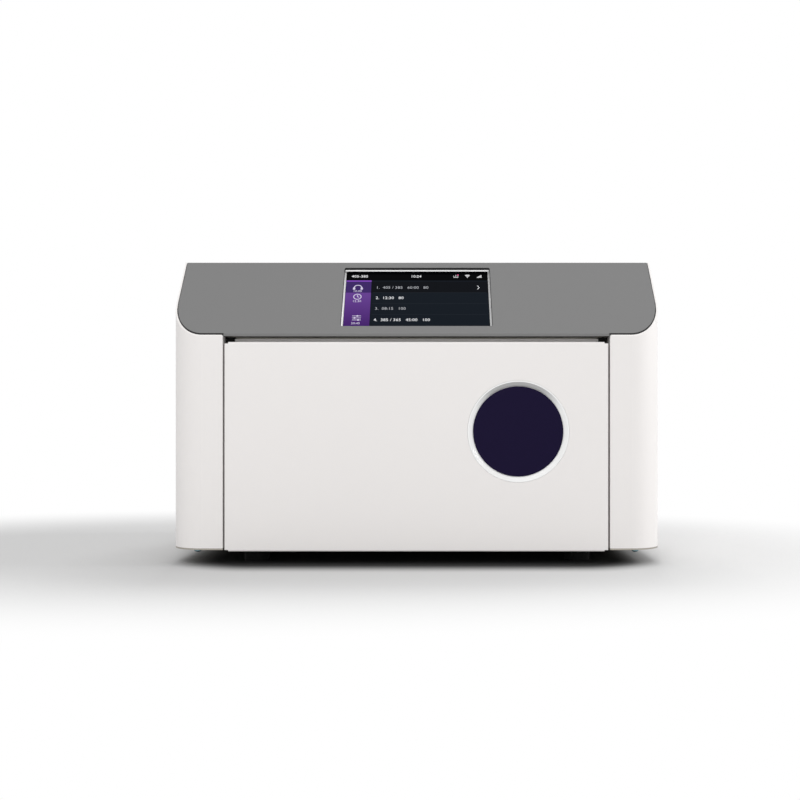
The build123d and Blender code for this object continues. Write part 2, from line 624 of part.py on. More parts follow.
# --- Drawer ------------------------------------------------------------------------------
def drawer_front():
    """Folded sheet front: flat face, four returns, corner reliefs and a stepped top strip."""
    low = FACE_BOTTOM
    shell = block(-FACE_HALF, FACE_HALF, FRONT_Y, LINER_Y, low, FACE_TOP)
    shell = fillet(shell.edges().filter_by(Axis.Z).group_by(Axis.Y)[0], FOLD_RADIUS)
    shell = fillet(shell.edges().filter_by(Axis.X).group_by(Axis.Y)[0], FOLD_RADIUS)
    inner = FACE_HALF - DRAWER_SHEET
    face_back = FRONT_Y + DRAWER_SHEET
    shell -= block(-inner, inner, face_back, LINER_Y, low + DRAWER_SHEET, FACE_TOP)
    strip_half = FACE_HALF - STEP_END
    strip_y = FRONT_Y + STEP_BACK
    strip_top = FACE_TOP + STEP_HEIGHT
    shell += block(
        -strip_half, strip_half, face_back, strip_y + DRAWER_SHEET,
        FACE_TOP - DRAWER_SHEET, FACE_TOP,
    )
    shell += block(-strip_half, strip_half, strip_y, strip_y + DRAWER_SHEET, FACE_TOP, strip_top)
    shell += block(
        -strip_half, strip_half, strip_y, LINER_Y, strip_top - DRAWER_SHEET, strip_top
    )
    for side in (-1, 1):
        x0, x1 = sorted((side * (FACE_HALF - RELIEF_WIDTH), side * FACE_HALF))
        shell -= block(x0, x1, FRONT_Y, LINER_Y, FACE_TOP - RELIEF_HEIGHT, FACE_TOP)
        shell -= block(x0, x1, FRONT_Y, LINER_Y, low, low + RELIEF_HEIGHT)
    return shell - along_y(BADGE_X, BADGE_Z, FRONT_Y, face_back, BADGE_RING_RADIUS)


def badge_parts():
    """Round dished cup set into the drawer front, and the plain dark disc on its floor."""
    ring = BADGE_RING_RADIUS - PANEL_FIT
    floor = BADGE_DISC_RADIUS
    with BuildPart() as cup:
        with BuildSketch(Plane.XZ):
            with BuildLine():
                Polyline(
                    (0, BADGE_DEPTH + BADGE_SHEET),
                    (floor + BADGE_SHEET, BADGE_DEPTH + BADGE_SHEET),
                    (ring, DRAWER_SHEET),
                    (ring, -BADGE_LIP),
                    (ring - BADGE_RIM, -BADGE_LIP),
                    (floor, BADGE_DEPTH),
                    (0, BADGE_DEPTH),
                    close=True,
                )
            make_face()
        revolve(axis=Axis.Z)
    turned = Pos(BADGE_X, FRONT_Y + BADGE_LIP, BADGE_Z) * Rot(-90, 0, 0) * cup.part
    floor_y = FRONT_Y + BADGE_LIP + BADGE_DEPTH
    disc = along_y(BADGE_X, BADGE_Z, floor_y - DISC_THICKNESS, floor_y, floor - PANEL_FIT)
    return turned, disc


def drawer_liner():
    """Flat reflecting panel that closes the back of the drawer front."""
    half = FACE_HALF - SEAM
    strip_top = FACE_TOP + STEP_HEIGHT
    panel = block(-half, half, LINER_Y, LINER_BACK_Y, FLOOR_Z + SEAM, strip_top)
    corner = block(
        FACE_HALF - STEP_END, half, LINER_Y, LINER_BACK_Y, FACE_TOP - RELIEF_HEIGHT, strip_top
    )
    return panel - corner - mirrored(corner)


def light_seal():
    """Rectangular foam seal on the liner, pressed against the chassis when closed."""
    half = FACE_HALF - DRAWER_SHEET
    low = FLOOR_Z + SEAL_RISE
    high = LIP_Z - SEAL_BELOW
    seal = block(-half, half, LINER_BACK_Y, SEAL_BACK_Y, low, high)
    return seal - block(
        -half + SEAL_WIDTH, half - SEAL_WIDTH, LINER_BACK_Y, SEAL_BACK_Y,
        low + SEAL_WIDTH, high - SEAL_WIDTH,
    )


def drawer_tray():
    """Folded tray behind the liner: floor, two sides, front flange and rear wall."""
    tray = block(-TRAY_X, TRAY_X, LINER_BACK_Y, TRAY_REAR_Y, TRAY_FLOOR_Z, TRAY_TOP_Z)
    return tray - block(
        -TRAY_X + SHEET, TRAY_X - SHEET, LINER_BACK_Y + SHEET, TRAY_REAR_Y - SHEET,
        TRAY_FLOOR_Z + SHEET, TRAY_TOP_Z,
    )


def tray_contents():
    """Silicone pads on the tray floor, and the glass work plate that lies on them."""
    floor = TRAY_FLOOR_Z + SHEET
    inset = SHEET + PLATE_CLEARANCE
    x = TRAY_X - inset
    y0 = LINER_BACK_Y + inset
    y1 = TRAY_REAR_Y - inset
    pads = []
    for pad_x in (-x + PAD_INSET, x - PAD_INSET):
        for pad_y in (y0 + PAD_INSET, y1 - PAD_INSET):
            pads.append(upright(pad_x, pad_y, floor, floor + PAD_HEIGHT, PAD_RADIUS))
    plate_z = floor + PAD_HEIGHT
    plate = block(-x, x, y0, y1, plate_z, plate_z + PLATE_THICKNESS)
    plate = fillet(plate.edges().filter_by(Axis.Z), PLATE_RADIUS)
    return pads, plate


def drawer_screws():
    """Pan heads that hold the tray's front flange to the liner."""
    heads = []
    y = LINER_BACK_Y + SHEET
    z = TRAY_TOP_Z - TRAY_SCREW_BELOW
    for step in (-1.5, -0.5, 0.5, 1.5):
        x = step * TRAY_SCREW_PITCH
        heads.append(along_y(x, z, y, y + TRAY_HEAD_HEIGHT, TRAY_HEAD_RADIUS))
    return heads


# --- Runners -----------------------------------------------------------------------------
def ring_section(x, z, inner, outer, start, stop):
    """Flat section of a curled lip: part of a ring round a ball row."""
    ring = Circle(outer) - Circle(inner)
    points = [(0, 0)]
    for step in range(5):
        angle = radians(start + (stop - start) * step / 4)
        points.append((2 * outer * cos(angle), 2 * outer * sin(angle)))
    return Pos(x, z) * (ring & make_face(Polyline(*points, close=True)))


def flat(x0, x1, z0, z1):
    """Flat rectangle in a runner's cross-section."""
    return Pos((x0 + x1) / 2, (z0 + z1) / 2) * Rectangle(x1 - x0, z1 - z0)


def mirrored_rows(section):
    """The same section above and below the runner's middle."""
    return section + mirror(section, about=Plane.XZ)


def runner_bar(section, start, length):
    """Extrude a cross-section along Y at the runner's height."""
    place = Plane(origin=(0, start + length, RUNNER_Z), x_dir=(1, 0, 0), z_dir=(0, -1, 0))
    return extrude(place * section, length)


def right_runner():
    """Outer, middle and inner member of a telescopic runner with its two ball cages."""
    race = BALL_RADIUS + RACE_CLEARANCE
    web = WALL_INNER_X - RUNNER_SHEET
    row_x = web - race
    middle_web = web - 2 * CAGE_GAP - CAGE_SHEET
    inner_row_x = middle_web - RUNNER_SHEET - race
    lip = race + RUNNER_SHEET

    outer = mirrored_rows(
        flat(web, WALL_INNER_X, 0, OUTER_ROW_Z)
        + ring_section(row_x, OUTER_ROW_Z, race, lip, 0, 180)
    )

    row_circle = Pos(row_x, OUTER_ROW_Z) * Circle(race)
    inner_circle = Pos(inner_row_x, INNER_ROW_Z) * Circle(race)
    flange_x = inner_row_x - lip
    middle = flat(middle_web - RUNNER_SHEET, middle_web, 0, OUTER_ROW_Z - MEMBER_GAP)
    middle += flat(flange_x, middle_web, INNER_ROW_Z, OUTER_ROW_Z - MEMBER_GAP)
    middle = mirrored_rows(middle - row_circle - inner_circle)

    inner_end = middle_web - RUNNER_SHEET - 2 * CAGE_GAP - CAGE_SHEET
    block_low = INNER_ROW_Z - race - RUNNER_SHEET
    inner = flat(flange_x, inner_end, block_low, INNER_ROW_Z - MEMBER_GAP) - inner_circle
    inner += flat(TRAY_X, inner_end, block_low, block_low + RUNNER_SHEET)
    inner += flat(TRAY_X, TRAY_X + RUNNER_SHEET, 0, block_low + RUNNER_SHEET)
    inner = mirrored_rows(inner)

    members = []
    for section in (outer, middle, inner):
        members.append(runner_bar(section, RUNNER_START_Y, RUNNER_LENGTH))
    cages = [
        ball_cage(web - CAGE_GAP - CAGE_SHEET, row_x, OUTER_ROW_Z),
        ball_cage(inner_end + CAGE_GAP, inner_row_x, INNER_ROW_Z),
    ]
    return members, cages


def ball_cage(strip_x, row_x, row_z):
    """Flat strip with scalloped edges that spaces two rows of balls, and the balls."""
    centre_y = RUNNER_START_Y + RUNNER_LENGTH / 2
    reach = row_z + CAGE_REACH
    strip = block(
        strip_x, strip_x + CAGE_SHEET,
        centre_y - CAGE_LENGTH / 2, centre_y + CAGE_LENGTH / 2,
        RUNNER_Z - reach, RUNNER_Z + reach,
    )
    balls = []
    for index in range(BALL_COUNT):
        y = centre_y + (index - (BALL_COUNT - 1) / 2) * BALL_PITCH
        for z in (RUNNER_Z - row_z, RUNNER_Z + row_z):
            strip -= along_x(y, z, strip_x - 1, strip_x + 1, BALL_RADIUS - 0.4)
            balls.append(Pos(row_x, y, z) * Sphere(BALL_RADIUS))
    return [strip] + balls


# --- Chamber and lamp --------------------------------------------------------------------
def right_reflector():
    """Mirror-finished chamber side with a shelf folded over the runner."""
    top = DECK_Z - DECK_SIDE - SEAM
    low = TRAY_TOP_Z + PLATE_CLEARANCE
    run = (CHASSIS_FRONT_Y + CHASSIS_SHEET, CHAMBER_REAR_Y)
    side = block(WALL_INNER_X - REFLECTOR_SHEET, WALL_INNER_X, *run, low, top)
    shelf_x = TRAY_X - REFLECTOR_SHEET
    return side + block(shelf_x, WALL_INNER_X, *run, low, low + REFLECTOR_SHEET)


def rear_reflector():
    """Mirror-finished chamber rear wall."""
    low = TRAY_TOP_Z + PLATE_CLEARANCE
    back = CHAMBER_REAR_Y + REFLECTOR_SHEET
    return block(-WALL_INNER_X, WALL_INNER_X, CHAMBER_REAR_Y, back, low, DECK_Z)


def lamp_parts():
    """Protective window, its frame, the LED board, the LEDs and the finned heat sink."""
    deck_top = DECK_Z + SHEET
    window_x = LAMP_OPENING_X + 2 * WINDOW_OVERLAP
    window_y = LAMP_OPENING_Y + 2 * WINDOW_OVERLAP
    window = Pos(0, LAMP_Y, deck_top + WINDOW_GLASS / 2) * Box(window_x, window_y, WINDOW_GLASS)
    frame_place = Pos(0, LAMP_Y, deck_top + FRAME_HEIGHT / 2)
    frame_x = window_x + 2 * FRAME_WALL
    frame_y = window_y + 2 * FRAME_WALL
    frame = frame_place * Box(frame_x, frame_y, FRAME_HEIGHT)
    frame -= frame_place * Box(LAMP_OPENING_X, LAMP_OPENING_Y, FRAME_HEIGHT)
    pocket = (window_x + 2 * PANEL_FIT, window_y + 2 * PANEL_FIT, WINDOW_GLASS + PANEL_FIT)
    frame -= Pos(0, LAMP_Y, deck_top + pocket[2] / 2) * Box(*pocket)
    board_z = deck_top + FRAME_HEIGHT
    board = Pos(0, LAMP_Y, board_z + LAMP_BOARD / 2) * Box(frame_x, frame_y, LAMP_BOARD)
    leds = []
    for column in range(LED_COLUMNS):
        for row in range(LED_ROWS):
            x = (column - (LED_COLUMNS - 1) / 2) * LED_PITCH_X
            y = LAMP_Y + (row - (LED_ROWS - 1) / 2) * LED_PITCH_Y
            led = Pos(x, y, board_z - LED_HEIGHT / 2) * Box(LED_SIZE, LED_SIZE, LED_HEIGHT)
            leds.append(led)
    sink_z = board_z + LAMP_BOARD
    sink = Pos(0, SINK_Y, sink_z + SINK_BASE / 2) * Box(SINK_WIDTH, SINK_DEPTH, SINK_BASE)
    pitch = (SINK_WIDTH - FIN_THICKNESS) / (FIN_COUNT - 1)
    for index in range(FIN_COUNT):
        x = (index - (FIN_COUNT - 1) / 2) * pitch
        fin_z = sink_z + SINK_BASE + FIN_HEIGHT / 2
        sink += Pos(x, SINK_Y, fin_z) * Box(FIN_THICKNESS, SINK_DEPTH, FIN_HEIGHT)
    return window, frame, board, leds, sink


SINK_TOP = DECK_Z + SHEET + FRAME_HEIGHT + LAMP_BOARD + SINK_BASE + FIN_HEIGHT


# --- Fans --------------------------------------------------------------------------------
def axial_fan(size, depth):
    """Frame and rotor of an axial fan; its axis is Z and its outlet face is at Z = 0."""
    duct = size / 2 - FAN_WALL
    hub = size * HUB_SHARE
    motor = depth * MOTOR_SHARE
    middle = Pos(0, 0, depth / 2)
    frame = extrude(RectangleRounded(size, size, FAN_CORNER_RADIUS), depth)
    frame -= extrude(Circle(duct), depth)
    corner = size / 2 - FAN_SCREW_INSET
    for x in (-corner, corner):
        for y in (-corner, corner):
            frame -= Pos(x, y, 0) * middle * Cylinder(FAN_SCREW_RADIUS, depth)
    spoke = Pos(duct / 2, 0, SPOKE_DEPTH / 2) * Box(duct + 1, SPOKE_WIDTH, SPOKE_DEPTH)
    for index in range(4):
        frame += Rot(0, 0, 45 + index * 90) * spoke
    frame += Pos(0, 0, motor / 2) * Cylinder(hub, motor)
    frame -= middle * Cylinder(SHAFT_RADIUS + SHAFT_CLEARANCE, depth)
    low = motor + ROTOR_GAP
    high = depth - ROTOR_SETBACK
    rotor = Pos(0, 0, (low + high) / 2) * Cylinder(hub, high - low)
    rotor = fillet(rotor.edges().group_by(Axis.Z)[-1], HUB_RADIUS)
    rotor += Pos(0, 0, (ROTOR_SETBACK + low) / 2) * Cylinder(SHAFT_RADIUS, low - ROTOR_SETBACK)
    blade = fan_blade(hub - BLADE_ROOT_SINK, duct, high - low, (low + high) / 2)
    for index in range(BLADE_COUNT):
        rotor += Rot(0, 0, index * 360 / BLADE_COUNT) * blade
    return frame, rotor & middle * Cylinder(duct - TIP_GAP, depth)


def fan_blade(root, tip, span, middle):
    """One twisted blade, lofted from a steep root section to a flatter, wider tip."""
    sections = []
    for radius, pitch, chord in ((root, ROOT_PITCH, ROOT_CHORD), (tip, TIP_PITCH, TIP_CHORD)):
        section = Rot(0, 0, pitch) * Rectangle(BLADE_THICKNESS, chord * span)
        place = Plane(origin=(radius, 0, middle), x_dir=(0, 0, 1), z_dir=(1, 0, 0))
        sections.append(place * section)
    return loft(sections)


# --- Power parts -------------------------------------------------------------------------
def power_inlet():
    """Appliance inlet with a flange, a three-pin socket and its pins."""
    back = REAR_Y + REAR_STANDOFF
    flange = RectangleRounded(
        INLET_BODY_X + 2 * INLET_RIM, INLET_BODY_Z + 2 * INLET_RIM, INLET_RIM_RADIUS
    )
    face = Pos(INLET_X, back, POWER_Z) * Rot(90, 0, 0)
    body = face * extrude(flange, REAR_STANDOFF)
    body += block(
        INLET_X - INLET_BODY_X / 2, INLET_X + INLET_BODY_X / 2, REAR_Y - INLET_DEPTH, REAR_Y,
        POWER_Z - INLET_BODY_Z / 2, POWER_Z + INLET_BODY_Z / 2,
    )
    socket = Rectangle(SOCKET_X, SOCKET_Z)
    socket = chamfer(socket.vertices().group_by(Axis.Y)[0], SOCKET_CHAMFER)
    body -= face * extrude(socket, SOCKET_DEPTH)
    pins = []
    for index in (-1, 0, 1):
        x = INLET_X + index * PIN_PITCH
        z = POWER_Z + (EARTH_PIN_RISE if index == 0 else -SIDE_PIN_DROP)
        start = back - SOCKET_DEPTH
        pins.append(block(
            x - PIN_WIDTH / 2, x + PIN_WIDTH / 2, start, start + PIN_LENGTH,
            z - PIN_HEIGHT / 2, z + PIN_HEIGHT / 2,
        ))
    return body, pins


def power_switch():
    """Switch housing with its bezel, and the rocker resting in its off position."""
    pivot_y = REAR_Y - ROCKER_PIVOT_BACK
    face = REAR_Y + SWITCH_RIM_DEPTH
    half_x = SWITCH_BODY_X / 2
    half_z = SWITCH_BODY_Z / 2
    housing = block(
        SWITCH_X - half_x - SWITCH_RIM, SWITCH_X + half_x + SWITCH_RIM, REAR_Y, face,
        POWER_Z - half_z - SWITCH_RIM, POWER_Z + half_z + SWITCH_RIM,
    )
    housing += block(
        SWITCH_X - half_x, SWITCH_X + half_x, REAR_Y - SWITCH_DEPTH, REAR_Y,
        POWER_Z - half_z, POWER_Z + half_z,
    )
    housing -= block(
        SWITCH_X - CAVITY_HALF_X, SWITCH_X + CAVITY_HALF_X, pivot_y - CAVITY_DEPTH, face,
        POWER_Z - CAVITY_HALF_Z, POWER_Z + CAVITY_HALF_Z,
    )
    pin_half = CAVITY_HALF_X + PIVOT_REACH
    hole_half = pin_half + PIVOT_END_GAP
    housing -= along_x(
        pivot_y, POWER_Z, SWITCH_X - hole_half, SWITCH_X + hole_half,
        PIVOT_RADIUS + SHAFT_CLEARANCE,
    )
    profile = Polyline(
        (4.4, -8.3), (3.0, 0), (4.4, 8.3), (1.0, 8.3), (-4.0, 3.0), (-4.0, -3.0), (1.0, -8.3),
        close=True,
    )
    side = Plane(origin=(SWITCH_X - ROCKER_HALF_X, 0, 0), x_dir=(0, 1, 0), z_dir=(1, 0, 0))
    rocker = extrude(side * make_face(profile), 2 * ROCKER_HALF_X)
    rocker += along_x(0, 0, SWITCH_X - pin_half, SWITCH_X + pin_half, PIVOT_RADIUS)
    return housing, Pos(0, pivot_y, POWER_Z) * Rot(ROCKER_TILT, 0, 0) * rocker


def power_supply():
    """Closed supply box on the base plate, with a screw-terminal block on its side."""
    x0 = SUPPLY_INSET - WALL_INNER_X
    x1 = x0 + SUPPLY_WIDTH
    y1 = REAR_Y - CHASSIS_FLANGE - SEAM
    y0 = y1 - SUPPLY_DEPTH
    box = block(x0, x1, y0, y1, FLOOR_Z, FLOOR_Z + SUPPLY_HEIGHT)
    box = fillet(box.edges().filter_by(Axis.X), SHEET)
    vent = Rot(0, 0, 90) * SlotOverall(SUPPLY_VENT_LENGTH, SUPPLY_VENT_WIDTH)
    vent_z = FLOOR_Z + SUPPLY_HEIGHT - SUPPLY_VENT_DEPTH
    for index in range(SUPPLY_VENTS):
        x = x0 + SUPPLY_VENT_INSET + index * SUPPLY_VENT_PITCH
        box -= Pos(x, (y0 + y1) / 2, vent_z) * extrude(vent, SUPPLY_VENT_DEPTH)
    terminal_x = x1 + TERMINAL_WIDTH
    terminal = block(
        x1, terminal_x, y0 + TERMINAL_INSET, y1 - TERMINAL_INSET, FLOOR_Z, FLOOR_Z + TERMINAL_HEIGHT
    )
    for index in range(TERMINAL_COUNT):
        y = (y0 + y1) / 2 + (index - (TERMINAL_COUNT - 1) / 2) * TERMINAL_PITCH
        terminal -= block(
            x1 + TERMINAL_STEP, terminal_x, y - TERMINAL_PITCH / 3, y + TERMINAL_PITCH / 3,
            FLOOR_Z + TERMINAL_FLOOR, FLOOR_Z + TERMINAL_HEIGHT,
        )
    return box, terminal


def driver_board():
    """LED driver on four posts on the rear of the deck."""
    deck_top = DECK_Z + SHEET
    low = deck_top + DRIVER_RISE
    top = low + DRIVER_THICKNESS
    y0 = CHAMBER_REAR_Y + DRIVER_GAP
    y1 = y0 + DRIVER_DEPTH
    board = block(-DRIVER_X, DRIVER_X, y0, y1, low, top)
    post_x = DRIVER_X - DRIVER_POST_INSET
    for x in (-post_x, post_x):
        for y in (y0 + DRIVER_POST_INSET, y1 - DRIVER_POST_INSET):
            board += upright(x, y, deck_top, low, DRIVER_POST_RADIUS)
    middle = (y0 + y1) / 2
    board += block(
        -DRIVER_GAP - COIL_WIDTH, -DRIVER_GAP,
        middle - COIL_DEPTH / 2, middle + COIL_DEPTH / 2, top, top + COIL_HEIGHT,
    )
    for index in range(2):
        x = DRIVER_GAP + index * CAPACITOR_PITCH
        board += upright(x, middle, top, top + CAPACITOR_HEIGHT, CAPACITOR_RADIUS)
    return board


def front_catches():
    """Magnets behind the deck's front flange, and the steel strikes on the liner."""
    magnets = []
    strikes = []
    for x in (-MAGNET_X, MAGNET_X):
        high = MAGNET_Z + MAGNET_HEIGHT
        rear = CHASSIS_FRONT_Y + MAGNET_DEPTH
        reach = (x - MAGNET_HALF, x + MAGNET_HALF)
        magnets.append(block(*reach, CHASSIS_FRONT_Y, rear, MAGNET_Z, high))
        strikes.append(block(*reach, LINER_BACK_Y, SEAL_BACK_Y, MAGNET_Z, high))
    return magnets, strikes


def interlock():
    """Reed sensor on the deck, and the small magnet on the drawer that it feels."""
    high = MAGNET_Z + MAGNET_HEIGHT
    rear = CHASSIS_FRONT_Y + SENSOR_DEPTH
    sensor = block(-MAGNET_HALF, MAGNET_HALF, CHASSIS_FRONT_Y, rear, MAGNET_Z, high)
    z = MAGNET_Z + MAGNET_HEIGHT / 2
    target = along_y(0, z, LINER_BACK_Y, SEAL_BACK_Y, TARGET_RADIUS)
    return sensor, target


def panel_screws():
    """Pan heads that hold the rear panel and the cheeks to the chassis."""
    heads = []
    low = FLOOR_Z + PANEL_SCREW_RISE
    high = TOP_Z - PANEL_SCREW_BELOW
    back = REAR_Y + SMALL_HEAD_HEIGHT
    for x in (WALL_X + PANEL_SCREW_INSET, WALL_X + CHASSIS_FLANGE - CHEEK_SCREW_INSET):
        for z in (low, (low + high) / 2, high):
            heads.extend(both_sides(along_y(x, z, REAR_Y, back, SMALL_HEAD_RADIUS)))
    return heads


save("base_plate", base_plate())
save("right_cheek", right_cheek())
save("left_cheek", mirrored(right_cheek()))
save("top_cover", top_cover())
save("rear_panel", rear_panel())
save("rubber_feet", feet())
save("base_screws", base_screws())
save("panel_screws", panel_screws())
for name, shape in zip(
    ("display_bezel", "display_glass", "display_module", "display_bracket", "control_board"),
    display_parts(),
):
    save(name, shape)
save("right_chassis_wall", right_chassis_wall())
save("left_chassis_wall", mirrored(right_chassis_wall()))
save("chassis_deck", chassis_deck())
save("right_reflector", right_reflector())
save("left_reflector", mirrored(right_reflector()))
save("rear_reflector", rear_reflector())
for name, shape in zip(
    ("lamp_window", "window_frame", "led_board", "led_array", "heat_sink"), lamp_parts()
):
    save(name, shape)

sink_fan = axial_fan(SINK_FAN_SIZE, SINK_FAN_DEPTH)
sink_fan_place = Pos(0, SINK_Y, SINK_TOP)
save("sink_fan_frame", sink_fan_place * sink_fan[0])
save("sink_fan_rotor", sink_fan_place * sink_fan[1])
exhaust_fan = axial_fan(EXHAUST_FAN_SIZE, EXHAUST_FAN_DEPTH)
exhaust_fan_place = Pos(EXHAUST_X, CHASSIS_REAR_Y, EXHAUST_Z) * Rot(90, 0, 0)
save("exhaust_fan_frame", exhaust_fan_place * exhaust_fan[0])
save("exhaust_fan_rotor", exhaust_fan_place * exhaust_fan[1])

for name, shape in zip(("power_inlet", "inlet_pins"), power_inlet()):
    save(name, shape)
for name, shape in zip(("switch_housing", "switch_rocker"), power_switch()):
    save(name, shape)
for name, shape in zip(("power_supply", "terminal_block"), power_supply()):
    save(name, shape)
save("led_driver", driver_board())
for name, shape in zip(("catch_magnets", "catch_strikes"), front_catches()):
    save(name, shape)
for name, shape in zip(("interlock_sensor", "interlock_magnet"), interlock()):
    save(name, shape)

save("drawer_front", drawer_front())
for name, shape in zip(("badge_cup", "badge_disc"), badge_parts()):
    save(name, shape)
save("drawer_liner", drawer_liner())
save("light_seal", light_seal())
save("drawer_tray", drawer_tray())
for name, shape in zip(("plate_pads", "work_plate"), tray_contents()):
    save(name, shape)
save("drawer_screws", drawer_screws())

runner_members, runner_cages = right_runner()
for name, member in zip(("outer", "middle", "inner"), runner_members):
    save(f"right_runner_{name}", member)
    save(f"left_runner_{name}", mirrored(member))
for name, cage in zip(("outer", "inner"), runner_cages):
    save(f"{name}_ball_cages", cage + [mirrored(piece) for piece in cage])
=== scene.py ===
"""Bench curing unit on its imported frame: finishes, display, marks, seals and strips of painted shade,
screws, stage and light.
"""
import json
import logging
import math
from collections.abc import Sequence
from dataclasses import dataclass
from enum import Enum

import bmesh
import bpy
from mathutils import Matrix, Vector


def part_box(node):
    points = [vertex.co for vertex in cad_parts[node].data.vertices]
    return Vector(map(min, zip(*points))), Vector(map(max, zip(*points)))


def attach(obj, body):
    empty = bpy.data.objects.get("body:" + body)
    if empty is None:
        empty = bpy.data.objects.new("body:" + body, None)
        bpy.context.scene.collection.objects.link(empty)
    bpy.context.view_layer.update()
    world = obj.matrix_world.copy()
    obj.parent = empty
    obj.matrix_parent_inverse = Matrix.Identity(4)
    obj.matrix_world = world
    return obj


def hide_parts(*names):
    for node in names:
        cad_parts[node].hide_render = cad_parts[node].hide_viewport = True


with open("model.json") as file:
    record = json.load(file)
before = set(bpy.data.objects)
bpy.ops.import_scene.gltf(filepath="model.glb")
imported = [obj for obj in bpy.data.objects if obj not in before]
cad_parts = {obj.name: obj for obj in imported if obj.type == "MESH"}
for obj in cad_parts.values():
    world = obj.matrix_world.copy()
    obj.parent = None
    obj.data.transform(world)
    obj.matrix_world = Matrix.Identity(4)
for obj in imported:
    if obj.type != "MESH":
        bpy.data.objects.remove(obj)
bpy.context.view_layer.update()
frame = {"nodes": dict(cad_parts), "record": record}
LOG = logging.getLogger("curing_unit")
MM = 0.001
COAT_ROUGHNESS = 0.12
GLOSS_SWING = 0.04
RELIEF_DEPTH = 0.5 * MM
GLASS_IOR = 1.45
FIGURE_EM = 1.42  # a font's size over the height of its figures

Point = tuple[float, float]
Colour = tuple[float, float, float]

DUST_COLOUR: Colour = (0.55, 0.53, 0.50)


class Graph:
    """Adds nodes to a tree and links them by socket."""

    def __init__(self, tree: bpy.types.NodeTree) -> None:
        """Keep the tree that the nodes go into."""
        self.tree = tree

    def add(self, kind: str, inputs: dict | None = None, **settings: object) -> bpy.types.Node:
        """Add one node.

        Args:
            kind: Blender's node type.
            inputs: values or output sockets for its inputs, by name or index.
            **settings: properties of the node.

        Returns:
            The new node.
        """
        node = self.tree.nodes.new(kind)
        for name, value in settings.items():
            setattr(node, name, value)
        for key, value in (inputs or {}).items():
            if isinstance(value, bpy.types.NodeSocket):
                self.tree.links.new(value, node.inputs[key])
            else:
                node.inputs[key].default_value = value
        return node

    def math(self, operation: str, first: object, second: object = 0.0) -> bpy.types.NodeSocket:
        """Return the result of a Math node on two values or sockets."""
        return self.add("ShaderNodeMath", {0: first, 1: second}, operation=operation).outputs[0]

    def spread(self, value: object, low: float, high: float) -> bpy.types.NodeSocket:
        """Return a 0 to 1 value spread over low to high."""
        return self.add("ShaderNodeMapRange", {"Value": value, "To Min": low, "To Max": high}).outputs[0]

    def mix(self, factor: object, first: object, second: object) -> bpy.types.NodeSocket:
        """Return a blend of two colours."""
        node = self.add("ShaderNodeMix", {0: factor, 6: first, 7: second}, data_type="RGBA")
        return node.outputs[2]


# --- Effects shared by several finishes ---------------------------------------------------
def group(name: str, inputs: dict[str, float], outputs: Sequence[str]) -> tuple[Graph, dict, dict]:
    """Start a shader node group with float inputs and outputs.

    Args:
        name: name of the group.
        inputs: input names with their default values.
        outputs: output names.

    Returns:
        The graph inside, its input sockets and its output sockets, both by name.
    """
    tree = bpy.data.node_groups.new(name, "ShaderNodeTree")
    for label, value in inputs.items():
        socket = tree.interface.new_socket(label, in_out="INPUT", socket_type="NodeSocketFloat")
        socket.default_value = value
    for label in outputs:
        tree.interface.new_socket(label, in_out="OUTPUT", socket_type="NodeSocketFloat")
    graph = Graph(tree)
    source = graph.add("NodeGroupInput")
    sink = graph.add("NodeGroupOutput")
    return graph, source.outputs, sink.inputs


def grain_group() -> bpy.types.NodeTree:
    """Build the fine surface grain of paint and plastic, with slow changes of tone."""
    graph, given, wanted = group("surface_grain", {"Grains per Metre": 900.0}, ("Height", "Tone"))
    place = graph.add("ShaderNodeTexCoord").outputs["Object"]
    fine = graph.add(
        "ShaderNodeTexNoise",
        {"Vector": place, "Scale": given["Grains per Metre"], "Detail": 3.0, "Roughness": 0.55},
    )
    slow = graph.add("ShaderNodeTexNoise", {"Vector": place, "Scale": 9.0, "Detail": 4.0})
    graph.tree.links.new(fine.outputs[0], wanted["Height"])
    graph.tree.links.new(slow.outputs[0], wanted["Tone"])
    return graph.tree


def brushed_group() -> bpy.types.NodeTree:
    """Build the long fine lines of rolled or brushed metal, running along X."""
    graph, given, wanted = group("rolled_lines", {"Lines per Metre": 700.0}, ("Height", "Tone"))
    place = graph.add("ShaderNodeTexCoord").outputs["Object"]
    stretched = graph.add("ShaderNodeMapping", {"Vector": place, "Scale": (0.03, 1.0, 1.0)})
    lines = graph.add(
        "ShaderNodeTexNoise",
        {"Vector": stretched.outputs[0], "Scale": given["Lines per Metre"], "Detail": 2.0},
    )
    cloud = graph.add("ShaderNodeTexNoise", {"Vector": place, "Scale": 22.0, "Detail": 5.0})
    graph.tree.links.new(lines.outputs[0], wanted["Height"])
    graph.tree.links.new(cloud.outputs[0], wanted["Tone"])
    return graph.tree


def highlit_worn_edges_group() -> bpy.types.NodeTree:
    """Build the mask of sharp outer edges, where finishes are worn thin and a highlight is painted on."""
    graph, given, wanted = group("highlit_and_worn_edges", {"Width": 0.0006}, ("Mask",))
    rounded = graph.add("ShaderNodeBevel", {"Radius": given["Width"]}, samples=4)
    true = graph.add("ShaderNodeNewGeometry")
    turn = graph.add(
        "ShaderNodeVectorMath",
        {0: rounded.outputs[0], 1: true.outputs["True Normal"]},
        operation="DOT_PRODUCT",
    )
    bent = graph.math("SUBTRACT", 1.0, turn.outputs["Value"])
    mask = graph.add("ShaderNodeMapRange", {"Value": bent, "From Min": 0.02, "From Max": 0.25})
    graph.tree.links.new(mask.outputs[0], wanted["Mask"])
    return graph.tree


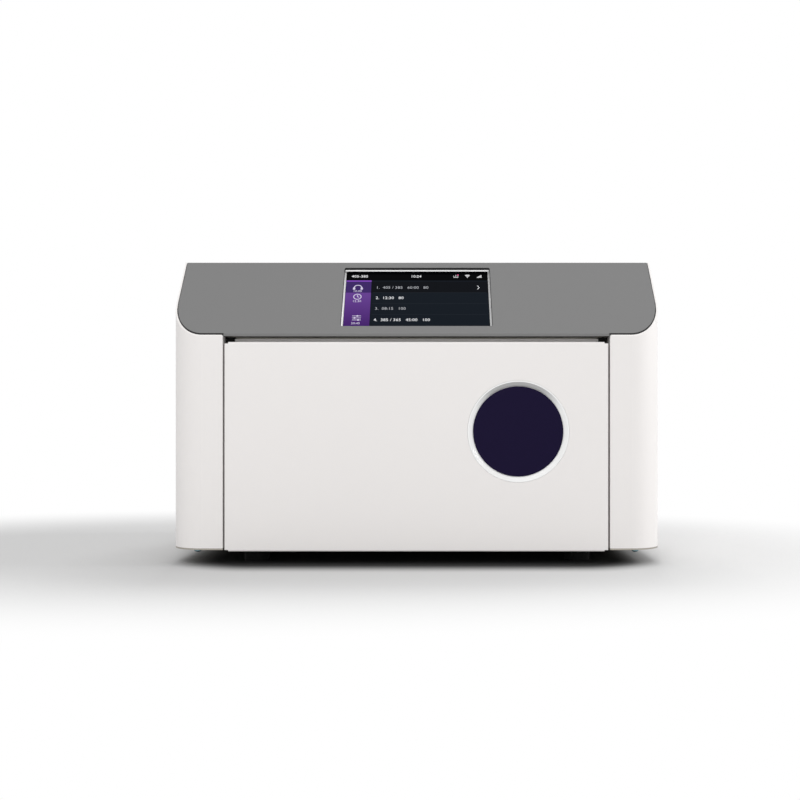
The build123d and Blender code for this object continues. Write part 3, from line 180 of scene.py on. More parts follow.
def dust_group() -> bpy.types.NodeTree:
    """Build the mask of thin dust that settles on faces turned upwards."""
    graph, given, wanted = group("dust", {"Amount": 0.3}, ("Mask",))
    normal = graph.add("ShaderNodeNewGeometry").outputs["Normal"]
    up = graph.add("ShaderNodeSeparateXYZ", {0: normal}).outputs["Z"]
    place = graph.add("ShaderNodeTexCoord").outputs["Object"]
    patches = graph.add("ShaderNodeTexNoise", {"Vector": place, "Scale": 60.0, "Detail": 6.0})
    facing = graph.add("ShaderNodeMapRange", {"Value": up, "From Min": 0.5}).outputs[0]
    mask = graph.math("MULTIPLY", graph.math("MULTIPLY", facing, patches.outputs[0]), given["Amount"])
    graph.tree.links.new(mask, wanted["Mask"])
    return graph.tree


@dataclass(frozen=True)
class Effects:
    """The shared effect groups."""

    grain: bpy.types.NodeTree
    brushed: bpy.types.NodeTree
    edge: bpy.types.NodeTree
    dust: bpy.types.NodeTree

    @classmethod
    def build(cls) -> "Effects":
        """Build each group once."""
        return cls(grain_group(), brushed_group(), highlit_worn_edges_group(), dust_group())


# --- Finishes -----------------------------------------------------------------------------
@dataclass(frozen=True)
class Finish:
    """A surface finish: how a colour, its gloss and its relief change over a piece."""

    name: str
    colour: Colour
    roughness: float = 0.5
    metallic: float = 0.0
    coat: float = 0.0
    specular: float = 0.5
    grains: float = 900.0
    relief: float = 0.05
    variation: float = 0.03
    edge_highlight_and_wear: float = 0.0
    dust: float = 0.0

    def start(self) -> tuple[bpy.types.Material, Graph, bpy.types.Node]:
        """Make the material with its shader.

        Returns:
            The material, the graph of its nodes and the shader node.
        """
        material = bpy.data.materials.new(self.name)
        material.use_nodes = True
        material.node_tree.nodes.clear()
        graph = Graph(material.node_tree)
        shader = graph.add("ShaderNodeBsdfPrincipled", {"Metallic": self.metallic})
        shader.inputs["Coat Weight"].default_value = self.coat
        shader.inputs["Coat Roughness"].default_value = COAT_ROUGHNESS
        shader.inputs["Specular IOR Level"].default_value = self.specular
        graph.add("ShaderNodeOutputMaterial", {"Surface": shader.outputs[0]})
        material.diffuse_color = (*self.colour, 1.0)
        return material, graph, shader

    def pattern(self, graph: Graph, effects: Effects) -> bpy.types.Node:
        """Add the group that gives this finish its relief and tone."""
        node = graph.add("ShaderNodeGroup", node_tree=effects.grain)
        node.inputs[0].default_value = self.grains
        return node

    def build(self, effects: Effects) -> bpy.types.Material:
        """Build the material.

        Args:
            effects: the shared effect groups.

        Returns:
            The finished material.
        """
        material, graph, shader = self.start()
        pattern = self.pattern(graph, effects)
        base = (*self.colour, 1.0)
        dark = tuple(value * (1 - self.variation) for value in self.colour) + (1.0,)
        colour = graph.mix(pattern.outputs["Tone"], dark, base)
        # painted edge highlight, partly wear: outer edges go towards white for a positive amount, towards
        # black for a negative one
        if self.edge_highlight_and_wear:
            edge = graph.add("ShaderNodeGroup", node_tree=effects.edge)
            target = 1.0 if self.edge_highlight_and_wear > 0 else 0.0
            amount = graph.math("MULTIPLY", edge.outputs["Mask"], abs(self.edge_highlight_and_wear))
            colour = graph.mix(amount, colour, (target, target, target, 1.0))
        if self.dust:
            dust = graph.add("ShaderNodeGroup", node_tree=effects.dust)
            dust.inputs["Amount"].default_value = self.dust
            colour = graph.mix(dust.outputs["Mask"], colour, (*DUST_COLOUR, 1.0))
        bump = graph.add(
            "ShaderNodeBump",
            {"Strength": self.relief, "Distance": RELIEF_DEPTH, "Height": pattern.outputs["Height"]},
        )
        colour = self.roll_and_paint_shade(graph, colour, bump)
        graph.tree.links.new(colour, shader.inputs["Base Color"])
        matter, shinier = self.roughness + GLOSS_SWING, self.roughness - GLOSS_SWING
        rough = graph.spread(pattern.outputs["Tone"], shinier, matter)
        graph.tree.links.new(rough, shader.inputs["Roughness"])
        graph.tree.links.new(bump.outputs[0], shader.inputs["Normal"])
        return material

    def roll_and_paint_shade(self, graph: Graph, colour: object, bump: bpy.types.Node) -> object:
        """Return the colour as it is; a finish with soft, rolled faces changes the bump and paints shade
        into the colour.
        """
        return colour


@dataclass(frozen=True)
class SoftRing(Finish):
    """A moulded ring whose sloping wall rolls softly into its face, with painted shade on the wall where
    it looks down.
    """

    roll: float = 2.2
    painted_shade_tone: float = 0.60

    def roll_and_paint_shade(self, graph: Graph, colour: object, bump: bpy.types.Node) -> object:
        """Roll the wall's normals towards the front and paint shade on its upper part, where the wall
        looks down.
        """
        normal = graph.add("ShaderNodeNewGeometry").outputs["Normal"]
        axes = graph.add("ShaderNodeSeparateXYZ", {0: normal}).outputs
        open_share = graph.add(
            "ShaderNodeMapRange", {"Value": axes["Z"], "From Min": -0.60, "From Max": -0.25},
            interpolation_type="SMOOTHSTEP",
        ).outputs[0]
        in_front = graph.math("LESS_THAN", axes["Y"], -0.1)
        share = graph.math("MULTIPLY", open_share, in_front)
        pull = graph.add("ShaderNodeCombineXYZ", {"Y": graph.math("MULTIPLY", share, -self.roll)})
        rolled = graph.add("ShaderNodeVectorMath", {0: normal, 1: pull.outputs[0]}, operation="ADD")
        even = graph.add("ShaderNodeVectorMath", {0: rolled.outputs[0]}, operation="NORMALIZE")
        graph.tree.links.new(even.outputs[0], bump.inputs["Normal"])
        # painted shade: the wall's faces that look down get a darker copy of the white
        under = tuple(value * self.painted_shade_tone for value in self.colour) + (1.0,)
        return graph.mix(open_share, under, colour)


@dataclass(frozen=True)
class RolledMetal(Finish):
    """Bare or plated sheet metal with lines along its rolling direction."""

    metallic: float = 1.0
    grains: float = 700.0

    def pattern(self, graph: Graph, effects: Effects) -> bpy.types.Node:
        """Add the rolled lines instead of the grain."""
        node = graph.add("ShaderNodeGroup", node_tree=effects.brushed)
        node.inputs[0].default_value = self.grains
        return node


@dataclass(frozen=True)
class ClearGlass(Finish):
    """Clear plate glass with faint smears in its gloss."""

    def build(self, effects: Effects) -> bpy.types.Material:
        """Build clear glass, with only its roughness changing over the surface."""
        material, graph, shader = self.start()
        pattern = self.pattern(graph, effects)
        shader.inputs["Base Color"].default_value = (*self.colour, 1.0)
        shader.inputs["Transmission Weight"].default_value = 1.0
        shader.inputs["IOR"].default_value = GLASS_IOR
        rough = graph.spread(pattern.outputs["Tone"], 0.0, self.roughness)
        graph.tree.links.new(rough, shader.inputs["Roughness"])
        return material


@dataclass(frozen=True)
class Glow(Finish):
    """A lit area of the display under its gloss, with the fine grid of its picture dots."""

    low_colour: Colour | None = None
    strength: float = 1.0
    along: Vector = Vector((0.0, 0.0, 1.0))
    low: float = 0.0
    high: float = 1.0

    def build(self, effects: Effects) -> bpy.types.Material:
        """Build a lit area that may fade from its top colour to a lower one."""
        material, graph, shader = self.start()
        shader.inputs["Base Color"].default_value = (0.0005, 0.0005, 0.0006, 1.0)
        shader.inputs["Roughness"].default_value = self.roughness
        shader.inputs["Emission Strength"].default_value = self.strength
        place = graph.add("ShaderNodeTexCoord").outputs["Object"]
        dots = graph.add("ShaderNodeTexNoise", {"Vector": place, "Scale": 2600.0, "Detail": 0.0})
        flicker = graph.spread(dots.outputs[0], 1 - self.variation, 1 + self.variation)
        height = graph.add(
            "ShaderNodeVectorMath", {0: place, 1: self.along}, operation="DOT_PRODUCT"
        ).outputs["Value"]
        fade = graph.add(
            "ShaderNodeMapRange", {"Value": height, "From Min": self.low, "From Max": self.high}
        ).outputs[0]
        lower = self.low_colour or self.colour
        colour = graph.mix(fade, (*lower, 1.0), (*self.colour, 1.0))
        shaded = graph.add(
            "ShaderNodeVectorMath", {0: colour, "Scale": flicker}, operation="SCALE"
        ).outputs[0]
        graph.tree.links.new(shaded, shader.inputs["Emission Color"])
        return material


FINISHES: dict[str, Finish] = {
    "painted_white": Finish(
        "white_powder_coat", (0.862, 0.836, 0.822), 0.42,
        relief=0.10, grains=1400, variation=0.012, edge_highlight_and_wear=0.15,
    ),
    "cover_grey": Finish(
        "grey_powder_coat", (0.195, 0.195, 0.195), 0.66,
        specular=0.3, relief=0.16, grains=1600, variation=0.03, edge_highlight_and_wear=0.04, dust=0.02,
    ),
    "badge_white": SoftRing("white_moulding", (0.97, 0.97, 0.965), 0.30, coat=0.3, relief=0.03),
    "badge_dark": Finish("navy_moulding", (0.0085, 0.0050, 0.028), 0.36, specular=0.06, relief=0.02),
    "bezel_silver": RolledMetal("satin_silver", (0.62, 0.62, 0.62), 0.42, relief=0.02),
    "screen_glass": Finish("display_glass", (0.001, 0.001, 0.0015), 0.08, specular=0.015, relief=0.0),
    "screen_black": Finish("display_module", (0.015, 0.015, 0.017), 0.5),
    "zinc_sheet": RolledMetal("zinc_sheet", (0.46, 0.43, 0.38), 0.42, relief=0.06, variation=0.18),
    "mirror_sheet": RolledMetal("mirror_sheet", (0.86, 0.87, 0.88), 0.10, relief=0.01, variation=0.04),
    "runner_steel": RolledMetal("runner_steel", (0.60, 0.61, 0.63), 0.28, relief=0.05, variation=0.12),
    "ball_steel": RolledMetal("bearing_steel", (0.72, 0.72, 0.74), 0.12, relief=0.01),
    "blue_zinc": RolledMetal("blue_zinc", (0.20, 0.33, 0.38), 0.30, relief=0.04, variation=0.25),
    "black_rubber": Finish(
        "black_rubber", (0.011, 0.011, 0.011), 0.82, specular=0.3, relief=0.25, dust=0.06
    ),
    "black_foam": Finish("black_foam", (0.012, 0.012, 0.012), 0.95, relief=0.8, grains=2400),
    "silicone": Finish("silicone", (0.70, 0.70, 0.68), 0.55, relief=0.08),
    "plate_glass": ClearGlass("plate_glass", (0.93, 0.98, 0.96), 0.05),
    "black_plastic": Finish("black_moulding", (0.013, 0.013, 0.014), 0.48, relief=0.2, edge_highlight_and_wear=0.05),
    "board_green": Finish("circuit_board", (0.015, 0.10, 0.040), 0.35, coat=0.3, variation=0.3),
    "board_white": Finish("white_board", (0.82, 0.82, 0.80), 0.35, coat=0.2),
    "led_white": Finish("led_package", (0.75, 0.66, 0.26), 0.30, coat=0.4),
    "heat_sink": RolledMetal("anodised_extrusion", (0.42, 0.43, 0.44), 0.38, relief=0.08),
    "magnet": Finish("magnet_case", (0.04, 0.04, 0.042), 0.45),
    "brass_pin": RolledMetal("bright_brass", (0.74, 0.60, 0.30), 0.22),
}
WHITE_PRINT = Finish("white_print", (0.78, 0.78, 0.77), 0.45, relief=0.02)


# --- Mesh helpers -------------------------------------------------------------------------
def add_piece(name: str, mesh: bpy.types.Mesh, body: str) -> bpy.types.Object:
    """Make a mesh a piece of the object.

    Args:
        name: the piece's name.
        mesh: its mesh, in the frame's own place.
        body: the body it moves with.

    Returns:
        The new object.
    """
    piece = bpy.data.objects.new(name, mesh)
    bpy.context.scene.collection.objects.link(piece)
    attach(piece, body)
    LOG.info("made %s on %s, %d faces", name, body, len(mesh.polygons))
    return piece


def finished_mesh(
    name: str, bm: bmesh.types.BMesh, material: bpy.types.Material
) -> bpy.types.Mesh:
    """Return gathered faces as a mesh with one material, and free what held them."""
    mesh = bpy.data.meshes.new(name)
    bm.to_mesh(mesh)
    bm.free()
    mesh.materials.append(material)
    return mesh


def join_rings(bm: bmesh.types.BMesh, ring: Sequence, after: Sequence) -> None:
    """Join two closed rings of equally many vertices with quads."""
    count = len(ring)
    for index in range(count):
        right = (index + 1) % count
        bm.faces.new((ring[index], ring[right], after[right], after[index]))


def arc(centre: Point, radius: float, start: float, stop: float, steps: int = 16) -> list[Point]:
    """Return points along an arc, its angles in degrees."""
    points = []
    for index in range(steps + 1):
        angle = math.radians(start + (stop - start) * index / steps)
        points.append((centre[0] + radius * math.cos(angle), centre[1] + radius * math.sin(angle)))
    return points


def rounded_rectangle(x0: float, x1: float, y0: float, y1: float, radius: float) -> list[Point]:
    """Return the outline of a rectangle with rounded corners, counter-clockwise."""
    r = radius
    return (
        arc((x1 - r, y0 + r), r, -90, 0, 5)
        + arc((x1 - r, y1 - r), r, 0, 90, 5)
        + arc((x0 + r, y1 - r), r, 90, 180, 5)
        + arc((x0 + r, y0 + r), r, 180, 270, 5)
    )


class FlatWork:
    """Thin raised shapes drawn on one plane and gathered into one mesh."""

    def __init__(
        self, plane: Matrix, low: float, high: float, bm: bmesh.types.BMesh | None = None
    ) -> None:
        """Keep the plane and the heights of the shapes' two faces over it.

        Args:
            plane: the matrix from the plane's own coordinates to the frame, in metres.
            low: height of the lower face, in metres.
            high: height of the upper face, in metres.
            bm: the mesh that gathers the shapes, or None for a new one.
        """
        self.plane = plane
        self.low = low
        self.high = high
        self.bm = bmesh.new() if bm is None else bm

    def prism(self, outline: Sequence[Point]) -> None:
        """Add a closed prism over a counter-clockwise outline, given in millimetres."""
        rings = []
        for height in (self.low, self.high):
            corners = [Vector((x * MM, y * MM, height)) for x, y in outline]
            rings.append([self.bm.verts.new(self.plane @ corner) for corner in corners])
        bottom, top = rings
        self.bm.faces.new(list(reversed(bottom)))
        self.bm.faces.new(top)
        join_rings(self.bm, bottom, top)

    def stroke(self, points: Sequence[Point], width: float, closed: bool = False) -> None:
        """Add a line of even width along the points, one quad prism for each run."""
        ring = list(points) + ([points[0], points[1]] if closed else [])
        sides = []
        for index, (x, y) in enumerate(ring):
            before = ring[max(index - 1, 0)]
            after = ring[min(index + 1, len(ring) - 1)]
            run = Vector((after[0] - before[0], after[1] - before[1])).normalized() * width / 2
            sides.append(((x - run.y, y + run.x), (x + run.y, y - run.x)))
        last = len(sides) - (2 if closed else 1)
        for index in range(last):
            (left, right), (next_left, next_right) = sides[index], sides[index + 1]
            self.prism((right, next_right, next_left, left))

    def text(self, body: str, place: Point, height: float) -> None:
        """Add a line of figures, its lower left corner at the place."""
        curve = bpy.data.curves.new("figures", "FONT")
        curve.body = body
        curve.size = height * FIGURE_EM
        curve.resolution_u = 2
        holder = bpy.data.objects.new("figures", curve)
        bpy.context.scene.collection.objects.link(holder)
        mesh = bpy.data.meshes.new_from_object(holder)
        bpy.data.objects.remove(holder)
        flat = bmesh.new()
        flat.from_mesh(mesh)
        bmesh.ops.remove_doubles(flat, verts=flat.verts, dist=1e-5)
        made = bmesh.ops.extrude_face_region(flat, geom=flat.faces[:])
        for vertex in (item for item in made["geom"] if isinstance(item, bmesh.types.BMVert)):
            vertex.co.z = 1.0
        bmesh.ops.recalc_face_normals(flat, faces=flat.faces)
        copies = {}
        for vertex in flat.verts:
            level = self.high if vertex.co.z > 0.5 else self.low
            spot = Vector(((place[0] + vertex.co.x) * MM, (place[1] + vertex.co.y) * MM, level))
            copies[vertex] = self.bm.verts.new(self.plane @ spot)
        for face in flat.faces:
            self.bm.faces.new([copies[vertex] for vertex in face.verts])
        flat.free()
        bpy.data.meshes.remove(mesh)
        bpy.data.curves.remove(curve)

    def mesh(self, name: str, material: bpy.types.Material) -> bpy.types.Mesh:
        """Return the gathered shapes as a mesh with one material."""
        return finished_mesh(name, self.bm, material)


# --- The display --------------------------------------------------------------------------
def tilted_plane(origin: Vector, angle: float) -> Matrix:
    """Return the place of a plane that leans back, its x along X and its y up the slope.

    Args:
        origin: a point of the plane, in metres.
        angle: how far the plane rises from the horizontal, in degrees.

    Returns:
        The matrix from the plane's own coordinates to the frame.
    """
    return Matrix.Translation(origin) @ Matrix.Rotation(math.radians(angle), 4, "X")


@dataclass(frozen=True)
class Layout:
    """The lit picture's place on the sloping cover, in millimetres along and up the slope."""

    slope_front: Vector = Vector((0.0, -0.120, 0.1721))
    slope_angle: float = 49.0
    width: float = 111.7
    height: float = 62.5
    centre_up: float = 44.7
    glass_depth: float = -3.60
    layer: float = 0.02

    def at(self, u: float, v: float) -> Point:
        """Return the place of a point given as parts of the width and of the height from the top."""
        return (self.width * (u - 0.5), self.centre_up + self.height * (0.5 - v))

    def box(self, u0: float, u1: float, v0: float, v1: float) -> list[Point]:
        """Return a rectangle's outline, counter-clockwise."""
        (left, top), (right, bottom) = self.at(u0, v0), self.at(u1, v1)
        return [(left, bottom), (right, bottom), (right, top), (left, top)]

    def work(self, level: int) -> FlatWork:
        """Return empty flat work on the glass, each level a little above the last."""
        base = self.glass_depth * MM
        plane = tilted_plane(self.slope_front, self.slope_angle)
        return FlatWork(plane, base - self.layer * MM, base + (self.layer + self.layer * level) * MM)

    def up(self) -> Vector:
        """Return the direction up the slope."""
        angle = math.radians(self.slope_angle)
        return Vector((0.0, math.cos(angle), math.sin(angle)))

    def climb(self, v: float) -> float:
        """Return how far a height on the picture lies along the slope, in metres."""
        return self.slope_front.dot(self.up()) + self.at(0, v)[1] * MM


@dataclass
class Display:
    """The curing program list as the touch display shows it, in figures and plain icons."""

    layout: Layout
    effects: Effects
    bar_bottom: float = 0.165
    side_right: float = 0.178
    tile_bottom: float = 0.39
    rows: tuple[float, ...] = (0.39, 0.59, 0.785)
    row_text: float = 2.9

    def glow(self, name: str, colour: Colour, **settings: object) -> bpy.types.Material:
        """Build the material of one lit area."""
        glow = Glow(f"glow_{name}", colour, 0.10, specular=0.04, variation=0.06, **settings)
        return glow.build(self.effects)

    def add(self, name: str, work: FlatWork, material: bpy.types.Material) -> None:
        """Add the gathered shapes as one piece."""
        add_piece(f"display_{name}", work.mesh(name, material), "housing")

    def background(self) -> None:
        """Add the picture's ground: list area, side bar, chosen tile and lines between rows."""
        layout = self.layout
        ground = layout.work(0)
        ground.prism(layout.box(self.side_right, 1.0, self.bar_bottom, 1.0))
        self.add("ground", ground, self.glow("navy", (0.0040, 0.0075, 0.0130)))
        side = layout.work(0)
        side.prism(layout.box(0.0, self.side_right, self.bar_bottom, 1.0))
        fade = {"along": layout.up(), "low": layout.climb(1.0), "high": layout.climb(0.45)}
        purple = self.glow("purple", (0.127, 0.047, 0.270), low_colour=(0.053, 0.012, 0.135), **fade)
        self.add("side_bar", side, purple)
        tile = layout.work(1)
        tile.prism(layout.box(0.0, self.side_right, self.bar_bottom + 0.02, self.tile_bottom))
        self.add("chosen_tile", tile, self.glow("tile", (0.045, 0.0194, 0.127)))
        line = layout.work(2)
        line.prism(layout.box(0.0, self.side_right, self.bar_bottom, self.bar_bottom + 0.018))
        self.add("tile_line", line, self.glow("violet", (0.262, 0.080, 0.578)))
        chosen = layout.work(1)
        chosen.prism(layout.box(self.side_right, 1.0, self.bar_bottom + 0.018, self.tile_bottom))
        self.add("chosen_row", chosen, self.glow("ink", (0.0012, 0.0022, 0.0046)))
        breaks = layout.work(2)
        for v in self.rows:
            breaks.prism(layout.box(self.side_right + 0.012, 0.985, v - 0.003, v + 0.003))
        self.add("row_lines", breaks, self.glow("slate", (0.0130, 0.0170, 0.0240)))

    def side_icons(self) -> FlatWork:
        """Draw the side bar's icons: a lamp, a timer and a set of sliders, each over its number."""
        layout = self.layout
        work = layout.work(3)
        x, y = layout.at(0.085, 0.285)
        work.stroke(arc((x, y - 1.0), 3.0, 0, 180), 0.75)
        for middle in (x - 3.0, x + 3.0):
            work.prism(rounded_rectangle(middle - 0.9, middle + 0.9, y - 3.2, y - 0.6, 0.5))
        x, y = layout.at(0.085, 0.465)
        work.stroke(arc((x, y), 2.9, 0, 360, 32)[:-1], 0.7, closed=True)
        work.stroke([(x, y), (x, y + 1.8)], 0.6)
        work.stroke([(x, y), (x + 1.3, y - 0.6)], 0.6)
        x, y = layout.at(0.088, 0.845)
        for step, knob in ((-2.2, 1.3), (0.0, -1.5), (2.2, 0.6)):
            work.stroke([(x - 3.4, y + step), (x + 3.4, y + step)], 0.5)
            work.prism(arc((x + knob, y + step), 0.85, 0, 360, 14)[:-1])
        for label, v in (("10:00", 0.378), ("12:30", 0.562), ("20:45", 0.955)):
            work.text(label, layout.at(0.052, v), 2.2)
        return work

    def bar_icons(self) -> FlatWork:
        """Draw the clock and the small icons of the top bar."""
        layout = self.layout
        work = layout.work(3)
        work.text("405-385", layout.at(0.035, 0.108), 2.8)
        work.text("10:24", layout.at(0.455, 0.108), 2.7)
        x, y = layout.at(0.775, 0.085)
        work.stroke([(x - 1.6, y + 0.6), (x - 1.6, y - 1.5), (x + 1.6, y - 1.5), (x + 1.6, y + 0.6)], 0.4)
        work.stroke([(x, y + 1.4), (x, y - 0.7)], 0.4)
        x, y = layout.at(0.857, 0.105)
        work.prism(arc((x, y), 0.4, 0, 360, 12)[:-1])
        for radius in (1.2, 2.0, 2.8):
            work.stroke(arc((x, y), radius, 48, 132, 10), 0.42)
        x, y = layout.at(0.925, 0.112)
        for index in range(4):
            left = x + index * 0.95
            right = left + 0.6
            top = y + 0.9 + 0.7 * index
            work.prism([(left, y), (right, y), (right, top), (left, top)])
        return work

    def list_rows(self) -> tuple[FlatWork, FlatWork]:
        """Draw the list's rows of figures, and the arrow of the chosen row.

        Returns:
            The bright shapes, which are the arrow and the second and fourth row, and the dim ones.
        """
        layout = self.layout
        bright = layout.work(3)
        dim = layout.work(3)
        bright.stroke([layout.at(0.925, 0.262), layout.at(0.938, 0.296), layout.at(0.925, 0.330)], 0.5)
        for work, figures, u, v in (
            (dim, "1.  405 / 385   60:00   80", 0.212, 0.318),
            (bright, "2.  12:30   80", 0.212, 0.508),
            (dim, "3.  08:15   100", 0.210, 0.70),
            (bright, "4.  385 / 365   45:00   100", 0.205, 0.90),
        ):
            work.text(figures, layout.at(u, v), self.row_text)
        return bright, dim

    def build(self) -> None:
        """Add all that the display shows."""
        self.background()
        self.add("side_icons", self.side_icons(), self.glow("lilac", (0.66, 0.60, 0.78)))
        bright, dim = self.list_rows()
        self.add("bar_icons", self.bar_icons(), self.glow("bar_white", (0.92, 0.92, 0.93)))
        self.add("bright_rows", bright, self.glow("row_white", (0.86, 0.87, 0.90)))
        self.add("dim_rows", dim, self.glow("row_grey", (0.42, 0.43, 0.46)))
        x, y = self.layout.at(0.79, 0.062)
        alert = self.layout.work(4)
        alert.prism(arc((x, y), 0.62, 0, 360, 14)[:-1])
        self.add("alert_dot", alert, self.glow("pink", (0.79, 0.10, 0.30)))


@dataclass
class WindowTrim:
    """The silver trim round the glass, and the black gasket between it and the cover, which also paints
    shade on the window's wall.
    """

    layout: Layout
    effects: Effects
    half_width: float = 57.7
    low: float = 10.7
    high: float = 76.9
    radius: float = 1.5
    gasket: tuple[Point, ...] = ((0.05, -2.10), (0.05, -0.35), (0.40, -0.35), (0.40, -2.10))
    trim: tuple[Point, ...] = ((0.05, -3.05), (0.05, -2.15), (0.42, -2.15), (1.25, -2.95), (1.25, -3.05))

    def sweep(self, name: str, profile: Sequence[Point], slot: str) -> None:
        """Sweep a profile round the window, just inside its wall.

        Args:
            name: the piece's name.
            profile: the profile's corners, each its distance from the wall and its level over the
                slope in millimetres, from the wall's low corner up and inwards.
            slot: the slot it is finished from.
        """
        plane = tilted_plane(self.layout.slope_front, self.layout.slope_angle)
        bm = bmesh.new()
        rings = []
        for inset, level in profile:
            edge = self.half_width - inset
            outline = rounded_rectangle(
                -edge, edge, self.low + inset, self.high - inset, self.radius - inset
            )
            rings.append([bm.verts.new(plane @ Vector((x * MM, y * MM, level * MM))) for x, y in outline])
        for step, ring in enumerate(rings):
            join_rings(bm, ring, rings[(step + 1) % len(rings)])
        mesh = finished_mesh(name, bm, FINISHES[slot].build(self.effects))
        add_piece(name, mesh, "housing")

    def build(self) -> None:
        """Add the gasket and the trim."""
        # partly painted shade: the black gasket lines the window's wall, which is in shade
        self.sweep("window_shade_gasket", self.gasket, "screen_black")
        self.sweep("window_trim", self.trim, "bezel_silver")


# --- Printed marks, and seals, strips and foam partly standing in for shade ---------------
@dataclass
class SwitchMarks:
    """The closed and open signs printed on the power switch's rocker: a bar and a ring."""

    effects: Effects
    node: str = "switch_rocker"
    bar_height: float = 3.0
    ring_radius: float = 1.35
    line: float = 0.45
    thickness: float = 0.06
    outward: float = 0.8

    def facets(self) -> list[tuple[Vector, Vector]]:
        """Return the middle and the normal of the rocker's two large outer faces, top one first."""
        found: dict[tuple[float, ...], list] = {}
        for face in frame["nodes"][self.node].data.polygons:
            if face.normal.y > self.outward:
                key = tuple(round(value, 2) for value in face.normal)
                found.setdefault(key, []).append((face.area, face.center.copy(), face.normal.copy()))
        largest = sorted(found.values(), key=lambda faces: -sum(area for area, _, _ in faces))[:2]
        facets = []
        for faces in largest:
            area = sum(share for share, _, _ in faces)
            middle = sum((centre * share for share, centre, _ in faces), Vector()) / area
            facets.append((middle, faces[0][2]))
        return sorted(facets, key=lambda facet: -facet[0].z)

    def build(self) -> None:
        """Add the two signs as one piece of the rocker."""
        bm = bmesh.new()
        half = self.bar_height / 2
        bar = [(0.0, -half), (0.0, half)]
        ring = arc((0.0, 0.0), self.ring_radius, 0, 360, 24)[:-1]
        for (middle, normal), points, closed in zip(self.facets(), (bar, ring), (False, True)):
            across = Vector((-1.0, 0.0, 0.0))
            turn = Matrix((across, normal.cross(across), normal)).transposed().to_4x4()
            plane = Matrix.Translation(middle) @ turn
            work = FlatWork(plane, -self.thickness * MM / 3, self.thickness * MM, bm)
            work.stroke(points, self.line, closed=closed)
        mesh = finished_mesh("switch_marks", bm, WHITE_PRINT.build(self.effects))
        add_piece("switch_marks", mesh, self.node)


@dataclass
class CoverSeamShade:
    """The black strips where the cover's lower corners meet the cheeks, each a thin lapping strip of
    painted shade in the seam.
    """

    layout: Layout
    materials: dict[str, bpy.types.Material]
    sheet: float = 1.2
    corner_radius: float = 24.0
    tip_clear: float = 0.4
    last_angle: float = -12.0
    arc_steps: int = 20
    lap_down: float = 0.5
    lap_up: float = 1.2
    low: float = -0.12
    high: float = 0.05

    def seam(self) -> list[Point]:
        """Return the right cheek's inner edge in plan, from its flange's tip round the corner."""
        near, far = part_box("right_cheek")
        front = near[1] / MM
        centre = (far[0] / MM - self.corner_radius, front + self.corner_radius)
        corner = arc(centre, self.corner_radius - self.sheet, -90, self.last_angle, self.arc_steps)
        return [(near[0] / MM - self.tip_clear, front + self.sheet), *corner]

    def build(self) -> None:
        """Add the two strips of painted shade as one piece."""
        plane = tilted_plane(self.layout.slope_front, self.layout.slope_angle)
        front = self.layout.slope_front.y / MM
        run = math.cos(math.radians(self.layout.slope_angle))
        section = (
            (-self.lap_down, self.low),
            (self.lap_up, self.low),
            (self.lap_up, self.high),
            (-self.lap_down, self.high),
        )
        bm = bmesh.new()
        for side in (-1, 1):
            rings = []
            for x, y in self.seam():
                along = (y - front) / run
                corners = [
                    Vector((side * x * MM, (along + lap) * MM, level * MM)) for lap, level in section
                ]
                rings.append([bm.verts.new(plane @ corner) for corner in corners])
            for ring, after in zip(rings, rings[1:]):
                join_rings(bm, ring, after)
            bm.faces.new(rings[0])
            bm.faces.new(rings[-1])
        bmesh.ops.recalc_face_normals(bm, faces=bm.faces)
        # painted shade: black strips fill the seam, where there is only a shadowed gap
        mesh = finished_mesh("cover_seam_shade", bm, self.materials["black_foam"])
        add_piece("cover_seam_shade", mesh, "housing")


@dataclass
class CornerShadeFoam:
    """The two black foam blocks at the drawer front's upper corners, which keep light in and also stand
    in for the shade in the corner notches.
    """

    materials: dict[str, bpy.types.Material]
    gap: float = 0.3
    depth: float = 5.0
    past_deck: float = 1.6

    def build(self) -> None:
        """Set a block over each end of the drawer's seal, in front of the chassis."""
        strip_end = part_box("chassis_deck")[1][0] + self.past_deck * MM
        cheek_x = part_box("right_cheek")[0][0]
        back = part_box("right_chassis_wall")[0][1]
        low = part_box("light_seal")[1][2] + self.gap * MM
        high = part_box("top_cover")[0][2] - self.gap * MM
        size = Vector((cheek_x - strip_end - self.gap * MM, self.depth * MM, high - low))
        bm = bmesh.new()
        for side in (-1, 1):
            middle = Vector((side * (strip_end + size.x / 2), back - size.y / 2, (low + high) / 2))
            place = Matrix.LocRotScale(middle, None, size)
            bmesh.ops.create_cube(bm, size=1.0, matrix=place)
        # partly painted shade: black blocks fill the corner notches, which are in shade
        mesh = finished_mesh("corner_shade_foam", bm, self.materials["black_foam"])
        add_piece("corner_shade_foam", mesh, "housing")


# --- Repeated parts -----------------------------------------------------------------------
def solids_of(node: str) -> list[tuple[Vector, Vector]]:
    """Return the lowest and highest corner of each separate solid of a frame node."""
    bm = bmesh.new()
    bm.from_mesh(frame["nodes"][node].data)
    bmesh.ops.remove_doubles(bm, verts=bm.verts, dist=1e-6)
    left = set(bm.verts)
    found = []
    while left:
        seed = left.pop()
        members = {seed}
        queue = [seed]
        while queue:
            for edge in queue.pop().link_edges:
                for vertex in edge.verts:
                    if vertex not in members:
                        members.add(vertex)
                        queue.append(vertex)
        left -= members
        low = Vector([min(vertex.co[axis] for vertex in members) for axis in range(3)])
        high = Vector([max(vertex.co[axis] for vertex in members) for axis in range(3)])
        found.append((low, high))
    bm.free()
    return sorted(found, key=lambda box: tuple(box[0]))


class Form(Enum):
    """What a seat carries."""

    CROSS_HEAD = "cross_head"
    LENS = "lens"


